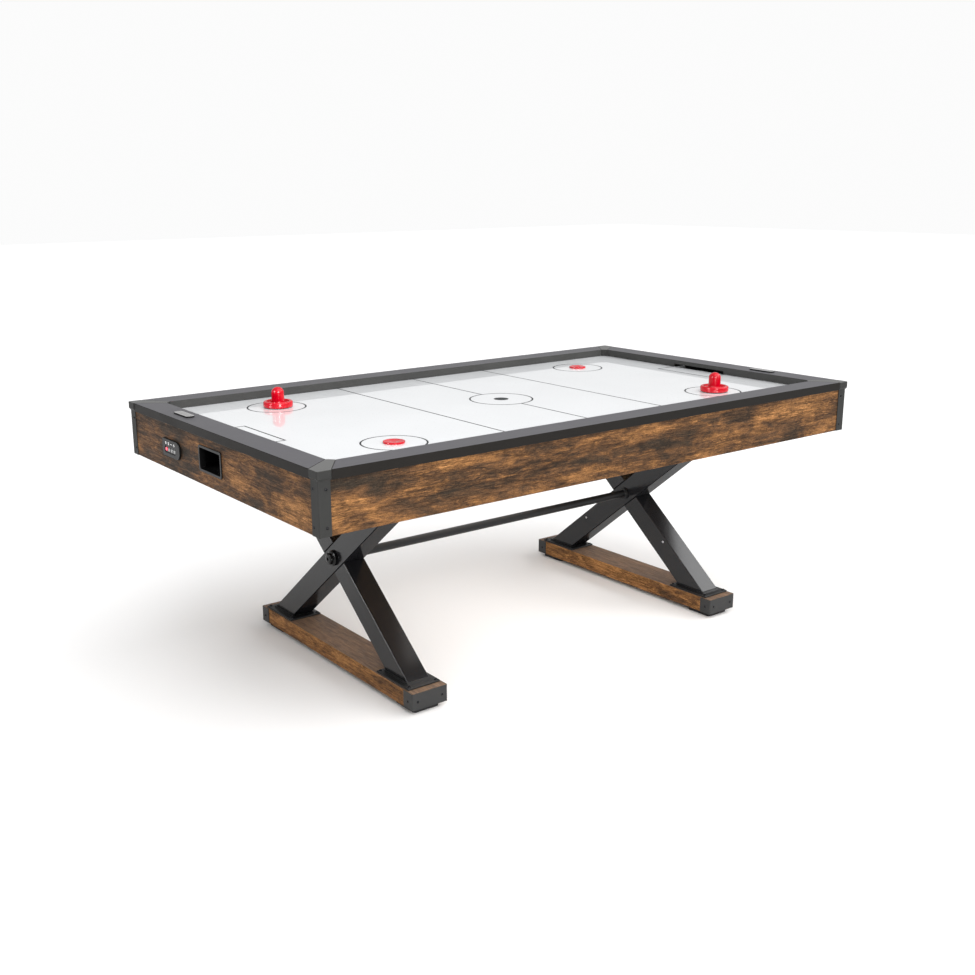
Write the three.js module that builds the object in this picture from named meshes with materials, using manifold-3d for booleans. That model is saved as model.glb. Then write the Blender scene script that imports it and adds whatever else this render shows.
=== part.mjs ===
// Air hockey table, 84 x 48 in over its corners, in millimetres.
// +X runs along the length, +Y across the width, +Z up; the origin is on the floor, under the middle.
// The -X end carries the control panel. The far end is the same end turned half a turn about Z.

import * as THREE from 'three';
import { mergeVertices } from 'three/addons/utils/BufferGeometryUtils.js';
import Module from 'manifold-3d';

const wasm = await Module();
wasm.setup();

// ---------------------------------------------------------------- driving dimensions

const TABLE_LENGTH = 2134;
const TABLE_WIDTH = 1220;
const RAIL_TOP = 815.5;
const PLAY_SURFACE = 788.3;
const CABINET_BOTTOM = 643;
const GAP = 0.3; // air left between two pieces that touch
const CLEAR = 5; // how far a cutting tool runs past what it cuts

const BOARD_THICKNESS = 12;
const APRON_THICKNESS = 15;
const APRON_INSET = 7.5; // apron face behind the outermost face of the corner guards
const RAIL_INSET = 2.5;
const RAIL_WIDTH = 86;
const EDGE_BEVEL = 1.2;

const GUARD_TIP = 41; // length of a corner guard's outer face
const GUARD_SEAM = 107; // where a seam reaches the inner edge of the rails, from the corner
const GUARD_LEG = 36;
const GUARD_PLATE = 2;
const GUARD_TAPER = 5.2; // how far the underside of a guard's head runs back to its legs

const GOAL_WIDTH = 250;
const GOAL_HEIGHT = 12;
const GOAL_BOX_FLOOR = 690;
const GOAL_BOX_DEPTH = 74;
const GOAL_BOX_WALL = 4;
const GOAL_SIDE_ROOM = 2; // on each side of a goal, behind its slot

const RETURN_CENTRE = [15, 723.5]; // across and up, on the -X end
const RETURN_OPENING = [135, 64];
const RETURN_BORDER = 7.5;
const RETURN_WALL = 2.6;
const RETURN_PROUD = 3.5;
const RETURN_CORNER = 4;

const PANEL_CENTRE = [285, 713.5];
const PANEL_SIZE = [127, 55];
const PANEL_PROUD = 6.2;
const PANEL_CORNERS = [24, 8]; // radii towards the middle of the end, and away from it
const PANEL_RECESS = 2.5; // how far the buttons' pocket goes in
const BUTTON_DROP = -5.5; // the buttons' height over the middle of the panel
const BUTTON_PITCH = 20;
const BUTTON_SIZE = [10.4, 10.4];
const BUTTON_SHIFT = 5.5; // the row's middle, from the middle of the panel
const BUTTON_COUNT = 4;
const BUTTON_NAMES = ['button_power', 'button_mode', 'button_minus', 'button_plus'];
const BUTTON_PROUD = 0.5;
const BUTTON_FLANGE = 1.5; // thickness and overhang of a key's flange
const CIRCUIT_SIZE = [90, 24];
const CIRCUIT_SHEET = 1.6;
const SWITCH_HALF = 4;
const POST_REACH = 42; // of the panel's posts, from the middle of the button row

const INLET_CENTRE = [285, 700]; // as seen from its own end
const INLET_FLANGE = [50, 30];
const INLET_SOCKET = [28, 20];
const INLET_WALL = 2;
const INLET_DEPTH = 16;
const INLET_PROUD = 2.8;

const DISPLAY_SIZE = [29, 103];
const DISPLAY_HEIGHT = 4.5;
const DISPLAY_CORNER = 10;
const DISPLAY_CENTRE = [-1021, 272];

const PLENUM_SIZE = [1910, 1140];
const PLENUM_DEPTH = 34;
const PLENUM_BATTEN = 18;
const PANEL_SHEET = 6;

const BLOWER_SIZE = 184;
const BLOWER_HEIGHT = 45.7;
const BLOWER_BORE = 82;
const AIR_HOLE = 75;
const BLADE_COUNT = 7;

const LEG_X = 635;
const LEG_SIZE = 76;
const MOUNT_BOARD = 18;
const LEG_SPREAD = 350; // how far out a leg's ends stand, at LEG_LOW and at the cabinet's underside
const LEG_LOW = 75;
const PLATE_SIZE = [116, 172, 6];

const FOOT_WIDTH = 121;
const FOOT_HALF_LENGTH = 460.5;
const FOOT_BOTTOM = 17;
const FOOT_TOP = 69;
const FOOT_CAP_LENGTH = 46;
const FOOT_CAP_SHEET = 2;
const FOOT_CAP_CORNER = 4;

const LEVELER_Y = 395;
const LEVELER_PAD = [92, 102, 13];
const LEVELER_CORNER = 11;
const LEVELER_HUB = 22;
const LEVELER_STEM = 5.5;
const LEVELER_STEM_TOP = 48;

const STRETCHER_RADIUS = 14;
const STRETCHER_FLANGE = 22;
const BOLT_FLANGE = 25;
const BOLT_KNOB = 18.5;
const BOLT_REACH = 21; // how far the head stands off its beam
const BOLT_SHANK = 6;
const BOLT_IN = 20; // how far the shank runs into the stretcher

const SPOT = [666, 347]; // face-off spots
const STRIKER_SHIFT = [4, -3]; // the strikers stand a little off their spots
const STRIKER_RADIUS = 48.5;
const STRIKER_HEIGHT = 66.4;
const KNOB_RADIUS = 20.5;
const PUCK_RADIUS = 31.75;
const PUCK_THICKNESS = 5;

// ---------------------------------------------------------------- derived places

const END = TABLE_LENGTH / 2;
const SIDE = TABLE_WIDTH / 2;
const RAIL_BOTTOM = PLAY_SURFACE + GAP;
const RAIL_INNER = RAIL_INSET + RAIL_WIDTH;
const APRON_END = END - APRON_INSET;
const APRON_SIDE = SIDE - APRON_INSET;
const INSIDE_END = APRON_END - APRON_THICKNESS;
const INSIDE_SIDE = APRON_SIDE - APRON_THICKNESS;
const BOARD_BOTTOM = PLAY_SURFACE - BOARD_THICKNESS;
const PLENUM_BOTTOM = BOARD_BOTTOM - GAP - PLENUM_DEPTH;
const BLOWER_TOP = PLENUM_BOTTOM - GAP - PANEL_SHEET - GAP;
const BLOWER_BOTTOM = BLOWER_TOP - BLOWER_HEIGHT;
const LEG_SLOPE = (2 * LEG_SPREAD) / (CABINET_BOTTOM - LEG_LOW); // run over rise
const LEG_HALF_RUN = (LEG_SIZE / 2) * Math.hypot(1, LEG_SLOPE);
const LEG_FOOT = FOOT_TOP + GAP + PLATE_SIZE[2] + GAP;
const LEG_HEAD = CABINET_BOTTOM + GAP - PLATE_SIZE[2] - GAP;
const CROSSING_Z = (CABINET_BOTTOM + LEG_LOW) / 2;
const GOAL_HALF = GOAL_WIDTH / 2;
const NOTCH_INNER = END - RAIL_INNER + 1.5; // a puck drops off the board here
const CIRCUIT_FRONT = -APRON_END + 8;

// ---------------------------------------------------------------- materials

function finish(colour, roughness, metalness = 0) {
  return new THREE.MeshStandardMaterial({ color: colour, roughness, metalness });
}

const playfieldWhite = finish(0xeceef0, 0.15);
const rusticWood = finish(0x6e4d30, 0.6);
const railGrey = finish(0x737276, 0.45);
const guardGrey = finish(0x4e4e4c, 0.5);
const legCharcoal = finish(0x444446, 0.45);
const blackSteel = finish(0x1b1b1c, 0.45, 0.3);
const blackPlastic = finish(0x1d1d1f, 0.55);
const returnGrey = finish(0x3c3c3e, 0.5);
const redPlastic = finish(0xee0328, 0.2);
const displayGrey = finish(0xafacac, 0.35);
const buttonGrey = finish(0xb4b4b4, 0.4);
const buttonRed = finish(0xff7088, 0.4);
const bareBoard = finish(0x9c7a55, 0.8);
const circuitGreen = finish(0x1f5a36, 0.5);
const motorSteel = finish(0x9a9a9c, 0.4, 0.8);

// ---------------------------------------------------------------- shaping helpers

const root = new THREE.Group();

function add(name, geometry, material, parent = root) {
  const mesh = new THREE.Mesh(geometry, material);
  mesh.name = name;
  parent.add(mesh);
  return mesh;
}

// A group for pieces drawn in a frame of their own, set down at a place and turned about Z.
function place(position, turn = 0) {
  const group = new THREE.Group();
  group.position.set(...position);
  group.rotation.z = turn;
  root.add(group);
  return group;
}

function solid(geometry) {
  const bare = geometry.clone();
  bare.deleteAttribute('normal');
  bare.deleteAttribute('uv');
  const merged = mergeVertices(bare, 1e-4);
  const vertProperties = new Float32Array(merged.attributes.position.array);
  const triVerts = new Uint32Array(merged.index.array);
  return new wasm.Manifold(new wasm.Mesh({ numProp: 3, vertProperties, triVerts }));
}

function surface(body) {
  const mesh = body.getMesh();
  const geometry = new THREE.BufferGeometry();
  geometry.setAttribute('position', new THREE.BufferAttribute(new Float32Array(mesh.vertProperties), 3));
  geometry.setIndex(new THREE.BufferAttribute(new Uint32Array(mesh.triVerts), 1));
  return geometry;
}

function cut(geometry, ...tools) {
  return surface(tools.reduce((body, tool) => body.subtract(solid(tool)), solid(geometry)));
}

function join(geometry, ...others) {
  return surface(others.reduce((body, other) => body.add(solid(other)), solid(geometry)));
}

// A box between two corners.
function block(low, high) {
  const size = high.map((value, i) => value - low[i]);
  const centre = high.map((value, i) => (value + low[i]) / 2);
  return new THREE.BoxGeometry(...size).translate(...centre);
}

function cylinderZ(radius, low, high, segments = 32) {
  const body = new THREE.CylinderGeometry(radius, radius, high - low, segments);
  return body.rotateX(Math.PI / 2).translate(0, 0, (low + high) / 2);
}

function cylinderX(radius, low, high, [y, z], segments = 20) {
  return cylinderZ(radius, low, high, segments).rotateY(Math.PI / 2).translate(0, y, z);
}

function outline(points) {
  return new THREE.Shape(points.map(([x, y]) => new THREE.Vector2(x, y)));
}

// A rounded rectangle; the corners on its low side may have a radius of their own.
function rectangle([width, height], radius, [centreX, centreY] = [0, 0], lowRadius = radius) {
  const [left, right] = [centreX - width / 2, centreX + width / 2];
  const [low, high] = [centreY - height / 2, centreY + height / 2];
  const shape = new THREE.Shape();
  shape.absarc(right - radius, low + radius, radius, -Math.PI / 2, 0);
  shape.absarc(right - radius, high - radius, radius, 0, Math.PI / 2);
  shape.absarc(left + lowRadius, high - lowRadius, lowRadius, Math.PI / 2, Math.PI);
  shape.absarc(left + lowRadius, low + lowRadius, lowRadius, Math.PI, 1.5 * Math.PI);
  shape.closePath();
  return shape;
}

// A plan outline raised from one height to another, with its edges bevelled.
function raise(shape, low, high, bevel = 0, segments = 4) {
  const geometry = new THREE.ExtrudeGeometry(shape, {
    depth: high - low - 2 * bevel,
    bevelEnabled: bevel > 0,
    bevelThickness: bevel,
    bevelSize: bevel,
    bevelOffset: -bevel,
    bevelSegments: 1,
    curveSegments: segments,
  });
  return geometry.translate(0, 0, low + bevel);
}

// A profile of [y, z] points run along X between two places.
function runAlongX(shape, from, to, bevel = 0, segments = 4) {
  const [x, y, z] = [new THREE.Vector3(1, 0, 0), new THREE.Vector3(0, 1, 0), new THREE.Vector3(0, 0, 1)];
  return raise(shape, from, to, bevel, segments).applyMatrix4(new THREE.Matrix4().makeBasis(y, z, x));
}

// A profile of [x, z] points run along Y between two places.
function runAlongY(shape, from, to, bevel = 0, segments = 4) {
  return raise(shape, -to, -from, bevel, segments).rotateX(Math.PI / 2);
}

// A turned piece about Z; the profile is a list of [radius, height] points, closed or from axis to axis.
function turned(profile, segments) {
  const points = profile.map(([radius, height]) => new THREE.Vector2(radius, height));
  return new THREE.LatheGeometry(points, segments).rotateX(Math.PI / 2);
}

// Points along a quarter circle, from its start angle to its end angle in degrees.
function arc([centreRadius, centreHeight], radius, startDegrees, endDegrees, steps) {
  return Array.from({ length: steps + 1 }, (_, i) => {
    const angle = THREE.MathUtils.degToRad(startDegrees + ((endDegrees - startDegrees) * i) / steps);
    return [centreRadius + radius * Math.cos(angle), centreHeight + radius * Math.sin(angle)];
  });
}

// ---------------------------------------------------------------- playfield and air chamber

function makePlayfield() {
  const [x, y] = [INSIDE_END - GAP, INSIDE_SIDE - GAP];
  const notch = GOAL_HALF + GOAL_SIDE_ROOM;
  const rightHalf = [[x, -y], [x, -notch], [NOTCH_INNER, -notch], [NOTCH_INNER, notch], [x, notch], [x, y]];
  const leftHalf = rightHalf.map(([px, py]) => [-px, -py]);
  const board = raise(outline([...rightHalf, ...leftHalf]), BOARD_BOTTOM, PLAY_SURFACE);
  add('playfield_board', board, playfieldWhite);
}

function makePlenum() {
  const [length, width] = PLENUM_SIZE;
  const frame = rectangle([length, width], 1);
  frame.holes.push(rectangle([length - 2 * PLENUM_BATTEN, width - 2 * PLENUM_BATTEN], 1));
  add('plenum_frame', raise(frame, PLENUM_BOTTOM, BOARD_BOTTOM - GAP, 0, 1), bareBoard);

  const sheetTop = PLENUM_BOTTOM - GAP;
  const sheet = block(
    [-length / 2, -width / 2, sheetTop - PANEL_SHEET],
    [length / 2, width / 2, sheetTop],
  );
  const airHole = cylinderZ(AIR_HOLE, sheetTop - PANEL_SHEET - CLEAR, sheetTop + CLEAR);
  add('plenum_bottom_panel', cut(sheet, airHole), bareBoard);
}

function makeBlower() {
  const [sheet, corner, overlap] = [3, 8, 4];
  const strutHalfWidth = 5;
  const [hubRadius, hubWall] = [35, 4];
  const [hubLow, hubHigh] = [BLOWER_BOTTOM + 7, BLOWER_BOTTOM + 32];
  const [motorRadius, motorTop] = [27, BLOWER_BOTTOM + 23];
  const [shaftRadius, shaftHole, shaftTop] = [3, 3.4, hubHigh - 1];
  const [bladeRoot, bladeTip] = [hubRadius - 2, BLOWER_BORE - 6];
  const [bladeHalfChord, bladeHalfSheet, bladePitch] = [15, 1.2, 0.95];

  const frame = cut(
    raise(rectangle([BLOWER_SIZE, BLOWER_SIZE], corner), BLOWER_BOTTOM, BLOWER_TOP, 0, 3),
    cylinderZ(BLOWER_BORE, BLOWER_BOTTOM - CLEAR, BLOWER_TOP + CLEAR, 40),
  );
  const struts = [0, 1, 2].map((i) => {
    const strut = block(
      [0, -strutHalfWidth, BLOWER_BOTTOM],
      [BLOWER_BORE + overlap, strutHalfWidth, BLOWER_BOTTOM + sheet],
    );
    return strut.rotateZ(((i * 2) / 3 + 1 / 2) * Math.PI);
  });
  const seat = cylinderZ(motorRadius + sheet, BLOWER_BOTTOM, BLOWER_BOTTOM + sheet);
  add('blower_housing', join(frame, seat, ...struts), blackPlastic);

  const motorLow = BLOWER_BOTTOM + sheet + GAP;
  const motor = [
    [0, motorLow], [motorRadius, motorLow], [motorRadius, motorTop],
    [shaftRadius, motorTop], [shaftRadius, shaftTop], [0, shaftTop],
  ];
  add('blower_motor', turned(motor, 28), motorSteel);

  const hub = [
    [shaftHole, hubHigh - hubWall], [hubRadius - hubWall, hubHigh - hubWall], [hubRadius - hubWall, hubLow],
    [hubRadius, hubLow], [hubRadius, hubHigh], [shaftHole, hubHigh], [shaftHole, hubHigh - hubWall],
  ];
  const blades = Array.from({ length: BLADE_COUNT }, (_, i) => {
    const blade = block(
      [bladeRoot, -bladeHalfSheet, -bladeHalfChord],
      [bladeTip, bladeHalfSheet, bladeHalfChord],
    );
    blade.rotateX(bladePitch).translate(0, 0, (hubLow + hubHigh) / 2);
    return blade.rotateZ((i * 2 * Math.PI) / BLADE_COUNT);
  });
  add('blower_impeller', join(turned(hub, 35), ...blades), blackPlastic);
}

// ---------------------------------------------------------------- rails and corner guards

// A rail along X, its outer edge towards -Y; its ends follow the seams of the corner guards.
function railBody(half) {
  const tip = GUARD_TIP + RAIL_INSET + 2 * GAP;
  const seam = GUARD_SEAM + 2 * GAP;
  const plan = outline([
    [-half + tip, RAIL_INSET], [half - tip, RAIL_INSET],
    [half - seam, RAIL_INNER], [-half + seam, RAIL_INNER],
  ]);
  return raise(plan, RAIL_BOTTOM, RAIL_TOP, EDGE_BEVEL);
}

function makeSideRails() {
  add('side_rail_front', railBody(END), railGrey, place([0, -SIDE, 0]));
  add('side_rail_back', railBody(END), railGrey, place([0, SIDE, 0], Math.PI));
}

function makeEndRail(name, end) {
  const goal = block(
    [-GOAL_HALF, END - INSIDE_END, RAIL_BOTTOM - CLEAR],
    [GOAL_HALF, RAIL_INNER + CLEAR, RAIL_BOTTOM + GOAL_HEIGHT],
  );
  const rail = cut(railBody(SIDE), goal).rotateZ(-Math.PI / 2).translate(-END, 0, 0);
  add(name, rail, railGrey, end);
}

// One moulded corner, its outer corner at the origin and its arms along +X and +Y.
function cornerGuard() {
  const cornerRadius = 5;
  const plan = outline([
    [GUARD_TIP, 0], [GUARD_TIP + RAIL_INSET, RAIL_INSET], [GUARD_SEAM, RAIL_INNER],
    [RAIL_INNER, GUARD_SEAM], [RAIL_INSET, GUARD_TIP + RAIL_INSET], [0, GUARD_TIP],
  ]);
  plan.absarc(cornerRadius, cornerRadius, cornerRadius, Math.PI, 1.5 * Math.PI);
  const head = raise(plan, RAIL_BOTTOM, RAIL_TOP, EDGE_BEVEL);

  // the underside of the head slopes back to the legs on both outer faces
  const rise = 1.4 * GUARD_TAPER;
  const slope = outline([
    [-CLEAR, -CLEAR], [GUARD_TAPER, -CLEAR], [GUARD_TAPER, 0], [0, rise], [-CLEAR, rise],
  ]);
  const underX = runAlongX(slope, -GUARD_TIP, 2 * GUARD_TIP).translate(0, 0, RAIL_BOTTOM);
  const underY = runAlongY(slope, -GUARD_TIP, 2 * GUARD_TIP).translate(0, 0, RAIL_BOTTOM);

  const [face, back, reach] = [GUARD_TAPER, GUARD_TAPER + GUARD_PLATE, GUARD_TAPER + GUARD_LEG];
  const angle = outline([
    [reach, face], [reach, back], [back, back], [back, reach], [face, reach],
  ]);
  angle.absarc(back, back, GUARD_PLATE, Math.PI, 1.5 * Math.PI);
  const legs = raise(angle, CABINET_BOTTOM, RAIL_BOTTOM + GUARD_PLATE);
  return join(cut(head, underX, underY), legs);
}

function makeCornerGuards() {
  const corners = [
    ['corner_guard_front_left', -END, -SIDE], ['corner_guard_front_right', END, -SIDE],
    ['corner_guard_back_right', END, SIDE], ['corner_guard_back_left', -END, SIDE],
  ];
  corners.forEach(([name, x, y], quarter) => {
    add(name, cornerGuard(), guardGrey, place([x, y, 0], (quarter * Math.PI) / 2));
  });
}

// ---------------------------------------------------------------- aprons

function makeSideAprons() {
  const half = INSIDE_END - GAP;
  const apron = block([-half, 0, CABINET_BOTTOM], [half, APRON_THICKNESS, PLAY_SURFACE]);
  add('side_apron_front', apron, rusticWood, place([0, -APRON_SIDE, 0]));
  add('side_apron_back', apron.clone(), rusticWood, place([0, APRON_SIDE, 0], Math.PI));
}

// A cutter through an end apron, from a rounded rectangle in its [y, z] plane.
function apronHole(size, centre, radius = 3) {
  return runAlongX(rectangle(size, radius, centre), -END, -INSIDE_END + CLEAR);
}

function makeEndApron(name, end, fittingHole) {
  const board = block([-APRON_END, -APRON_SIDE, CABINET_BOTTOM], [-INSIDE_END, APRON_SIDE, PLAY_SURFACE]);
  const collar = RETURN_OPENING.map((size) => size + 2 * RETURN_WALL + 2 * GAP);
  add(name, cut(board, apronHole(collar, RETURN_CENTRE), fittingHole), rusticWood, end);
}

// ---------------------------------------------------------------- fittings of one end

function makeGoalBox(name, end) {
  const [front, back] = [-INSIDE_END + GAP, -INSIDE_END + GAP + GOAL_BOX_DEPTH];
  const [half, top] = [GOAL_HALF + GOAL_SIDE_ROOM, BOARD_BOTTOM - GAP];
  const wall = GOAL_BOX_WALL;
  const box = cut(
    block([front, -half - wall, GOAL_BOX_FLOOR - wall], [back, half + wall, top]),
    block([front - wall, -half, GOAL_BOX_FLOOR], [back - wall, half, top + wall]),
  );
  add(name, box, blackPlastic, end);
}

function makeReturnBezel(name, end) {
  const [width, height] = RETURN_OPENING;
  const grown = (by) => rectangle([width + 2 * by, height + 2 * by], RETURN_CORNER + by / 2, RETURN_CENTRE);
  const bezel = cut(
    join(
      runAlongX(grown(RETURN_BORDER), -APRON_END - RETURN_PROUD, -APRON_END - GAP, 0.8),
      runAlongX(grown(RETURN_WALL), -APRON_END - 1, -INSIDE_END - GAP),
    ),
    runAlongX(grown(0), -END - CLEAR, -INSIDE_END + CLEAR),
  );
  add(name, bezel, returnGrey, end);
}

function makeScoreDisplay(name, end) {
  const [x, y] = DISPLAY_CENTRE;
  const low = RAIL_TOP + GAP;
  const display = raise(rectangle(DISPLAY_SIZE, DISPLAY_CORNER), low, low + DISPLAY_HEIGHT, 0.8, 6);
  add(name, display.translate(x, y, 0), displayGrey, end);
}

// ---------------------------------------------------------------- control panel

function buttonCentre(i) {
  const across = PANEL_CENTRE[0] + BUTTON_SHIFT + ((BUTTON_COUNT - 1) / 2 - i) * BUTTON_PITCH;
  return [across, PANEL_CENTRE[1] + BUTTON_DROP];
}

function makeControlPanel(end) {
  const [front, back] = [-APRON_END - PANEL_PROUD, -APRON_END - GAP];
  const [buttonWidth, buttonHeight] = BUTTON_SIZE;
  const row = [PANEL_CENTRE[0] + BUTTON_SHIFT, PANEL_CENTRE[1] + BUTTON_DROP];
  const pocket = [BUTTON_COUNT * BUTTON_PITCH, 2 * buttonHeight];
  const [roundSide, plainSide] = PANEL_CORNERS;
  const outer = rectangle(PANEL_SIZE, plainSide, PANEL_CENTRE, roundSide);
  const recess = runAlongX(rectangle(pocket, 6, row), front - CLEAR, front + PANEL_RECESS);
  const holes = Array.from({ length: BUTTON_COUNT }, (_, i) => {
    const hole = rectangle([buttonWidth + 1, buttonHeight + 1], 3, buttonCentre(i));
    return runAlongX(hole, front - CLEAR, back + CLEAR);
  });
  const posts = [-1, 1].map((side) => (
    cylinderX(2.5, back - 1, CIRCUIT_FRONT - GAP, [row[0] + side * POST_REACH, row[1]], 12)
  ));
  const plate = cut(runAlongX(outer, front, back, 1.2, 8), recess, ...holes);
  add('control_panel', join(plate, ...posts), guardGrey, end);

  for (let i = 0; i < BUTTON_COUNT; i += 1) {
    const [across, up] = buttonCentre(i);
    const [halfWidth, halfHeight] = BUTTON_SIZE.map((size) => size / 2 + BUTTON_FLANGE);
    const keyBack = -APRON_END + BUTTON_FLANGE;
    const face = rectangle(BUTTON_SIZE, 2.5, [across, up]);
    const key = runAlongX(face, front - BUTTON_PROUD, keyBack - 0.5, 0.6);
    const flange = block(
      [-APRON_END, across - halfWidth, up - halfHeight],
      [keyBack, across + halfWidth, up + halfHeight],
    );
    add(BUTTON_NAMES[i], join(key, flange), i === 0 ? buttonRed : buttonGrey, end);
  }

  const [circuitHalf, circuitRise] = CIRCUIT_SIZE.map((size) => size / 2);
  const circuit = block(
    [CIRCUIT_FRONT, row[0] - circuitHalf, row[1] - circuitRise],
    [CIRCUIT_FRONT + CIRCUIT_SHEET, row[0] + circuitHalf, row[1] + circuitRise],
  );
  const switches = Array.from({ length: BUTTON_COUNT }, (_, i) => {
    const [across, up] = buttonCentre(i);
    return block(
      [-APRON_END + 2 * BUTTON_FLANGE, across - SWITCH_HALF, up - SWITCH_HALF],
      [CIRCUIT_FRONT + 1, across + SWITCH_HALF, up + SWITCH_HALF],
    );
  });
  add('control_circuit_board', join(circuit, ...switches), circuitGreen, end);
}

function makePowerInlet(end) {
  const bore = INLET_SOCKET.map((size) => size - 2 * INLET_WALL);
  const back = -APRON_END + INLET_DEPTH;
  const inlet = cut(
    join(
      runAlongX(rectangle(INLET_FLANGE, 4, INLET_CENTRE), -APRON_END - INLET_PROUD, -APRON_END - GAP, 0.6),
      runAlongX(rectangle(INLET_SOCKET, 3, INLET_CENTRE), -APRON_END - 1, back),
    ),
    runAlongX(rectangle(bore, 3, INLET_CENTRE), -END - CLEAR, back - INLET_WALL),
  );
  add('power_inlet', inlet, blackPlastic, end);
}

function makeEnds() {
  const left = place([0, 0, 0]);
  const right = place([0, 0, 0], Math.PI);
  for (const [side, end] of [['left', left], ['right', right]]) {
    makeEndRail(`end_rail_${side}`, end);
    makeGoalBox(`goal_box_${side}`, end);
    makeReturnBezel(`return_bezel_${side}`, end);
    makeScoreDisplay(`score_display_${side}`, end);
  }
  const row = [PANEL_CENTRE[0] + BUTTON_SHIFT, PANEL_CENTRE[1] + BUTTON_DROP];
  makeEndApron('end_apron_left', left, apronHole(CIRCUIT_SIZE.map((size) => size + 6), row));
  makeEndApron('end_apron_right', right, apronHole(INLET_SOCKET.map((size) => size + 1), INLET_CENTRE));
  makeControlPanel(left);
  makePowerInlet(right);
}

// ---------------------------------------------------------------- legs

// How far out a leg's axis is at a height; the through beam runs from +Y at the foot to -Y at the head.
function legAxis(height) {
  return LEG_SPREAD - (height - LEG_LOW) * LEG_SLOPE;
}

function beam(points) {
  return runAlongX(outline(points), -LEG_SIZE / 2, LEG_SIZE / 2, 2.5);
}

function makeLegs(side, x, outward) {
  const group = place([x, 0, 0]);
  const half = LEG_HALF_RUN;
  const crossing = [0, CROSSING_Z];

  const through = beam([
    [legAxis(LEG_FOOT) - half, LEG_FOOT], [legAxis(LEG_FOOT) + half, LEG_FOOT],
    [legAxis(LEG_HEAD) + half, LEG_HEAD], [legAxis(LEG_HEAD) - half, LEG_HEAD],
  ]);
  const boltHole = cylinderX(BOLT_SHANK + GAP, -LEG_SIZE, LEG_SIZE, crossing);
  add(`leg_through_beam_${side}`, cut(through, boltHole), legCharcoal, group);

  // the other diagonal is in two pieces that butt against the through beam
  const buttGap = GAP * Math.hypot(1, LEG_SLOPE);
  const nearRise = (2 * half + buttGap) / (2 * LEG_SLOPE);
  const farRise = buttGap / (2 * LEG_SLOPE);
  const lower = [
    [-legAxis(LEG_FOOT) - half, LEG_FOOT], [-legAxis(LEG_FOOT) + half, LEG_FOOT],
    [-buttGap / 2, CROSSING_Z - nearRise], [-half - buttGap / 2, CROSSING_Z - farRise],
  ];
  const upper = [
    [-legAxis(LEG_HEAD) + half, LEG_HEAD], [-legAxis(LEG_HEAD) - half, LEG_HEAD],
    [buttGap / 2, CROSSING_Z + nearRise], [half + buttGap / 2, CROSSING_Z + farRise],
  ];
  add(`leg_lower_beam_${side}`, beam(lower), legCharcoal, group);
  add(`leg_upper_beam_${side}`, beam(upper), legCharcoal, group);

  const face = LEG_SIZE / 2 + GAP;
  const [shankEnd, rim, top] = [-LEG_SIZE / 2 - BOLT_IN, face + BOLT_REACH / 3, face + BOLT_REACH];
  const bolt = turned([
    [0, shankEnd], [BOLT_SHANK, shankEnd], [BOLT_SHANK, face],
    [BOLT_FLANGE - 2, face], [BOLT_FLANGE, face + 2], [BOLT_FLANGE, rim], [BOLT_FLANGE - 2, rim + 2],
    [BOLT_KNOB + 1, rim + 3], [BOLT_KNOB, top - 4], [BOLT_KNOB - 4, top - 1], [0, top],
  ], 28);
  bolt.rotateY((outward * Math.PI) / 2).translate(0, 0, CROSSING_Z);
  add(`pivot_bolt_${side}`, bolt, blackSteel, group);

  const headCentre = -legAxis(LEG_HEAD);
  const [padLow, padHigh] = [CABINET_BOTTOM + GAP - PLATE_SIZE[2], CABINET_BOTTOM + GAP];
  const pad = PLATE_SIZE[1] / 2;
  const boardEnd = INSIDE_SIDE - GAP;
  const rightSide = [
    [headCentre - pad, padHigh], [headCentre - pad, padLow], [headCentre + pad, padLow],
    [headCentre + pad, padHigh], [boardEnd, padHigh], [boardEnd, padHigh + MOUNT_BOARD],
  ];
  const leftSide = rightSide.map(([y, z]) => [-y, z]).reverse();
  const mount = runAlongX(outline([...leftSide, ...rightSide]), -PLATE_SIZE[0] / 2, PLATE_SIZE[0] / 2);
  add(`leg_mount_board_${side}`, mount, blackSteel, group);
}

function makeStretcher() {
  const end = LEG_X - LEG_SIZE / 2 - GAP;
  const [socket, socketDepth, flange] = [BOLT_SHANK + GAP, BOLT_IN + 5, 7];
  const half = [
    [0, end - socketDepth], [socket, end - socketDepth], [socket, end], [STRETCHER_FLANGE, end],
    [STRETCHER_FLANGE, end - flange + 2], [STRETCHER_FLANGE - 2, end - flange],
    [STRETCHER_RADIUS, end - flange],
  ];
  const otherHalf = half.map(([radius, along]) => [radius, -along]);
  const stretcher = turned([...otherHalf, ...half.reverse()], 20);
  add('stretcher', stretcher.rotateY(Math.PI / 2).translate(0, 0, CROSSING_Z), blackSteel);
}

// ---------------------------------------------------------------- feet

function footCap() {
  const inner = FOOT_WIDTH / 2 + GAP;
  const outer = inner + FOOT_CAP_SHEET;
  const front = -FOOT_HALF_LENGTH - GAP - FOOT_CAP_SHEET;
  const [back, radius] = [front + FOOT_CAP_LENGTH, FOOT_CAP_CORNER];
  const plan = new THREE.Shape();
  plan.absarc(-outer + radius, front + radius, radius, Math.PI, 1.5 * Math.PI);
  plan.absarc(outer - radius, front + radius, radius, 1.5 * Math.PI, 2 * Math.PI);
  plan.lineTo(outer, back);
  plan.lineTo(inner, back);
  plan.lineTo(inner, front + FOOT_CAP_SHEET);
  plan.lineTo(-inner, front + FOOT_CAP_SHEET);
  plan.lineTo(-inner, back);
  plan.lineTo(-outer, back);
  return raise(plan, FOOT_BOTTOM, FOOT_TOP);
}

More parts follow.
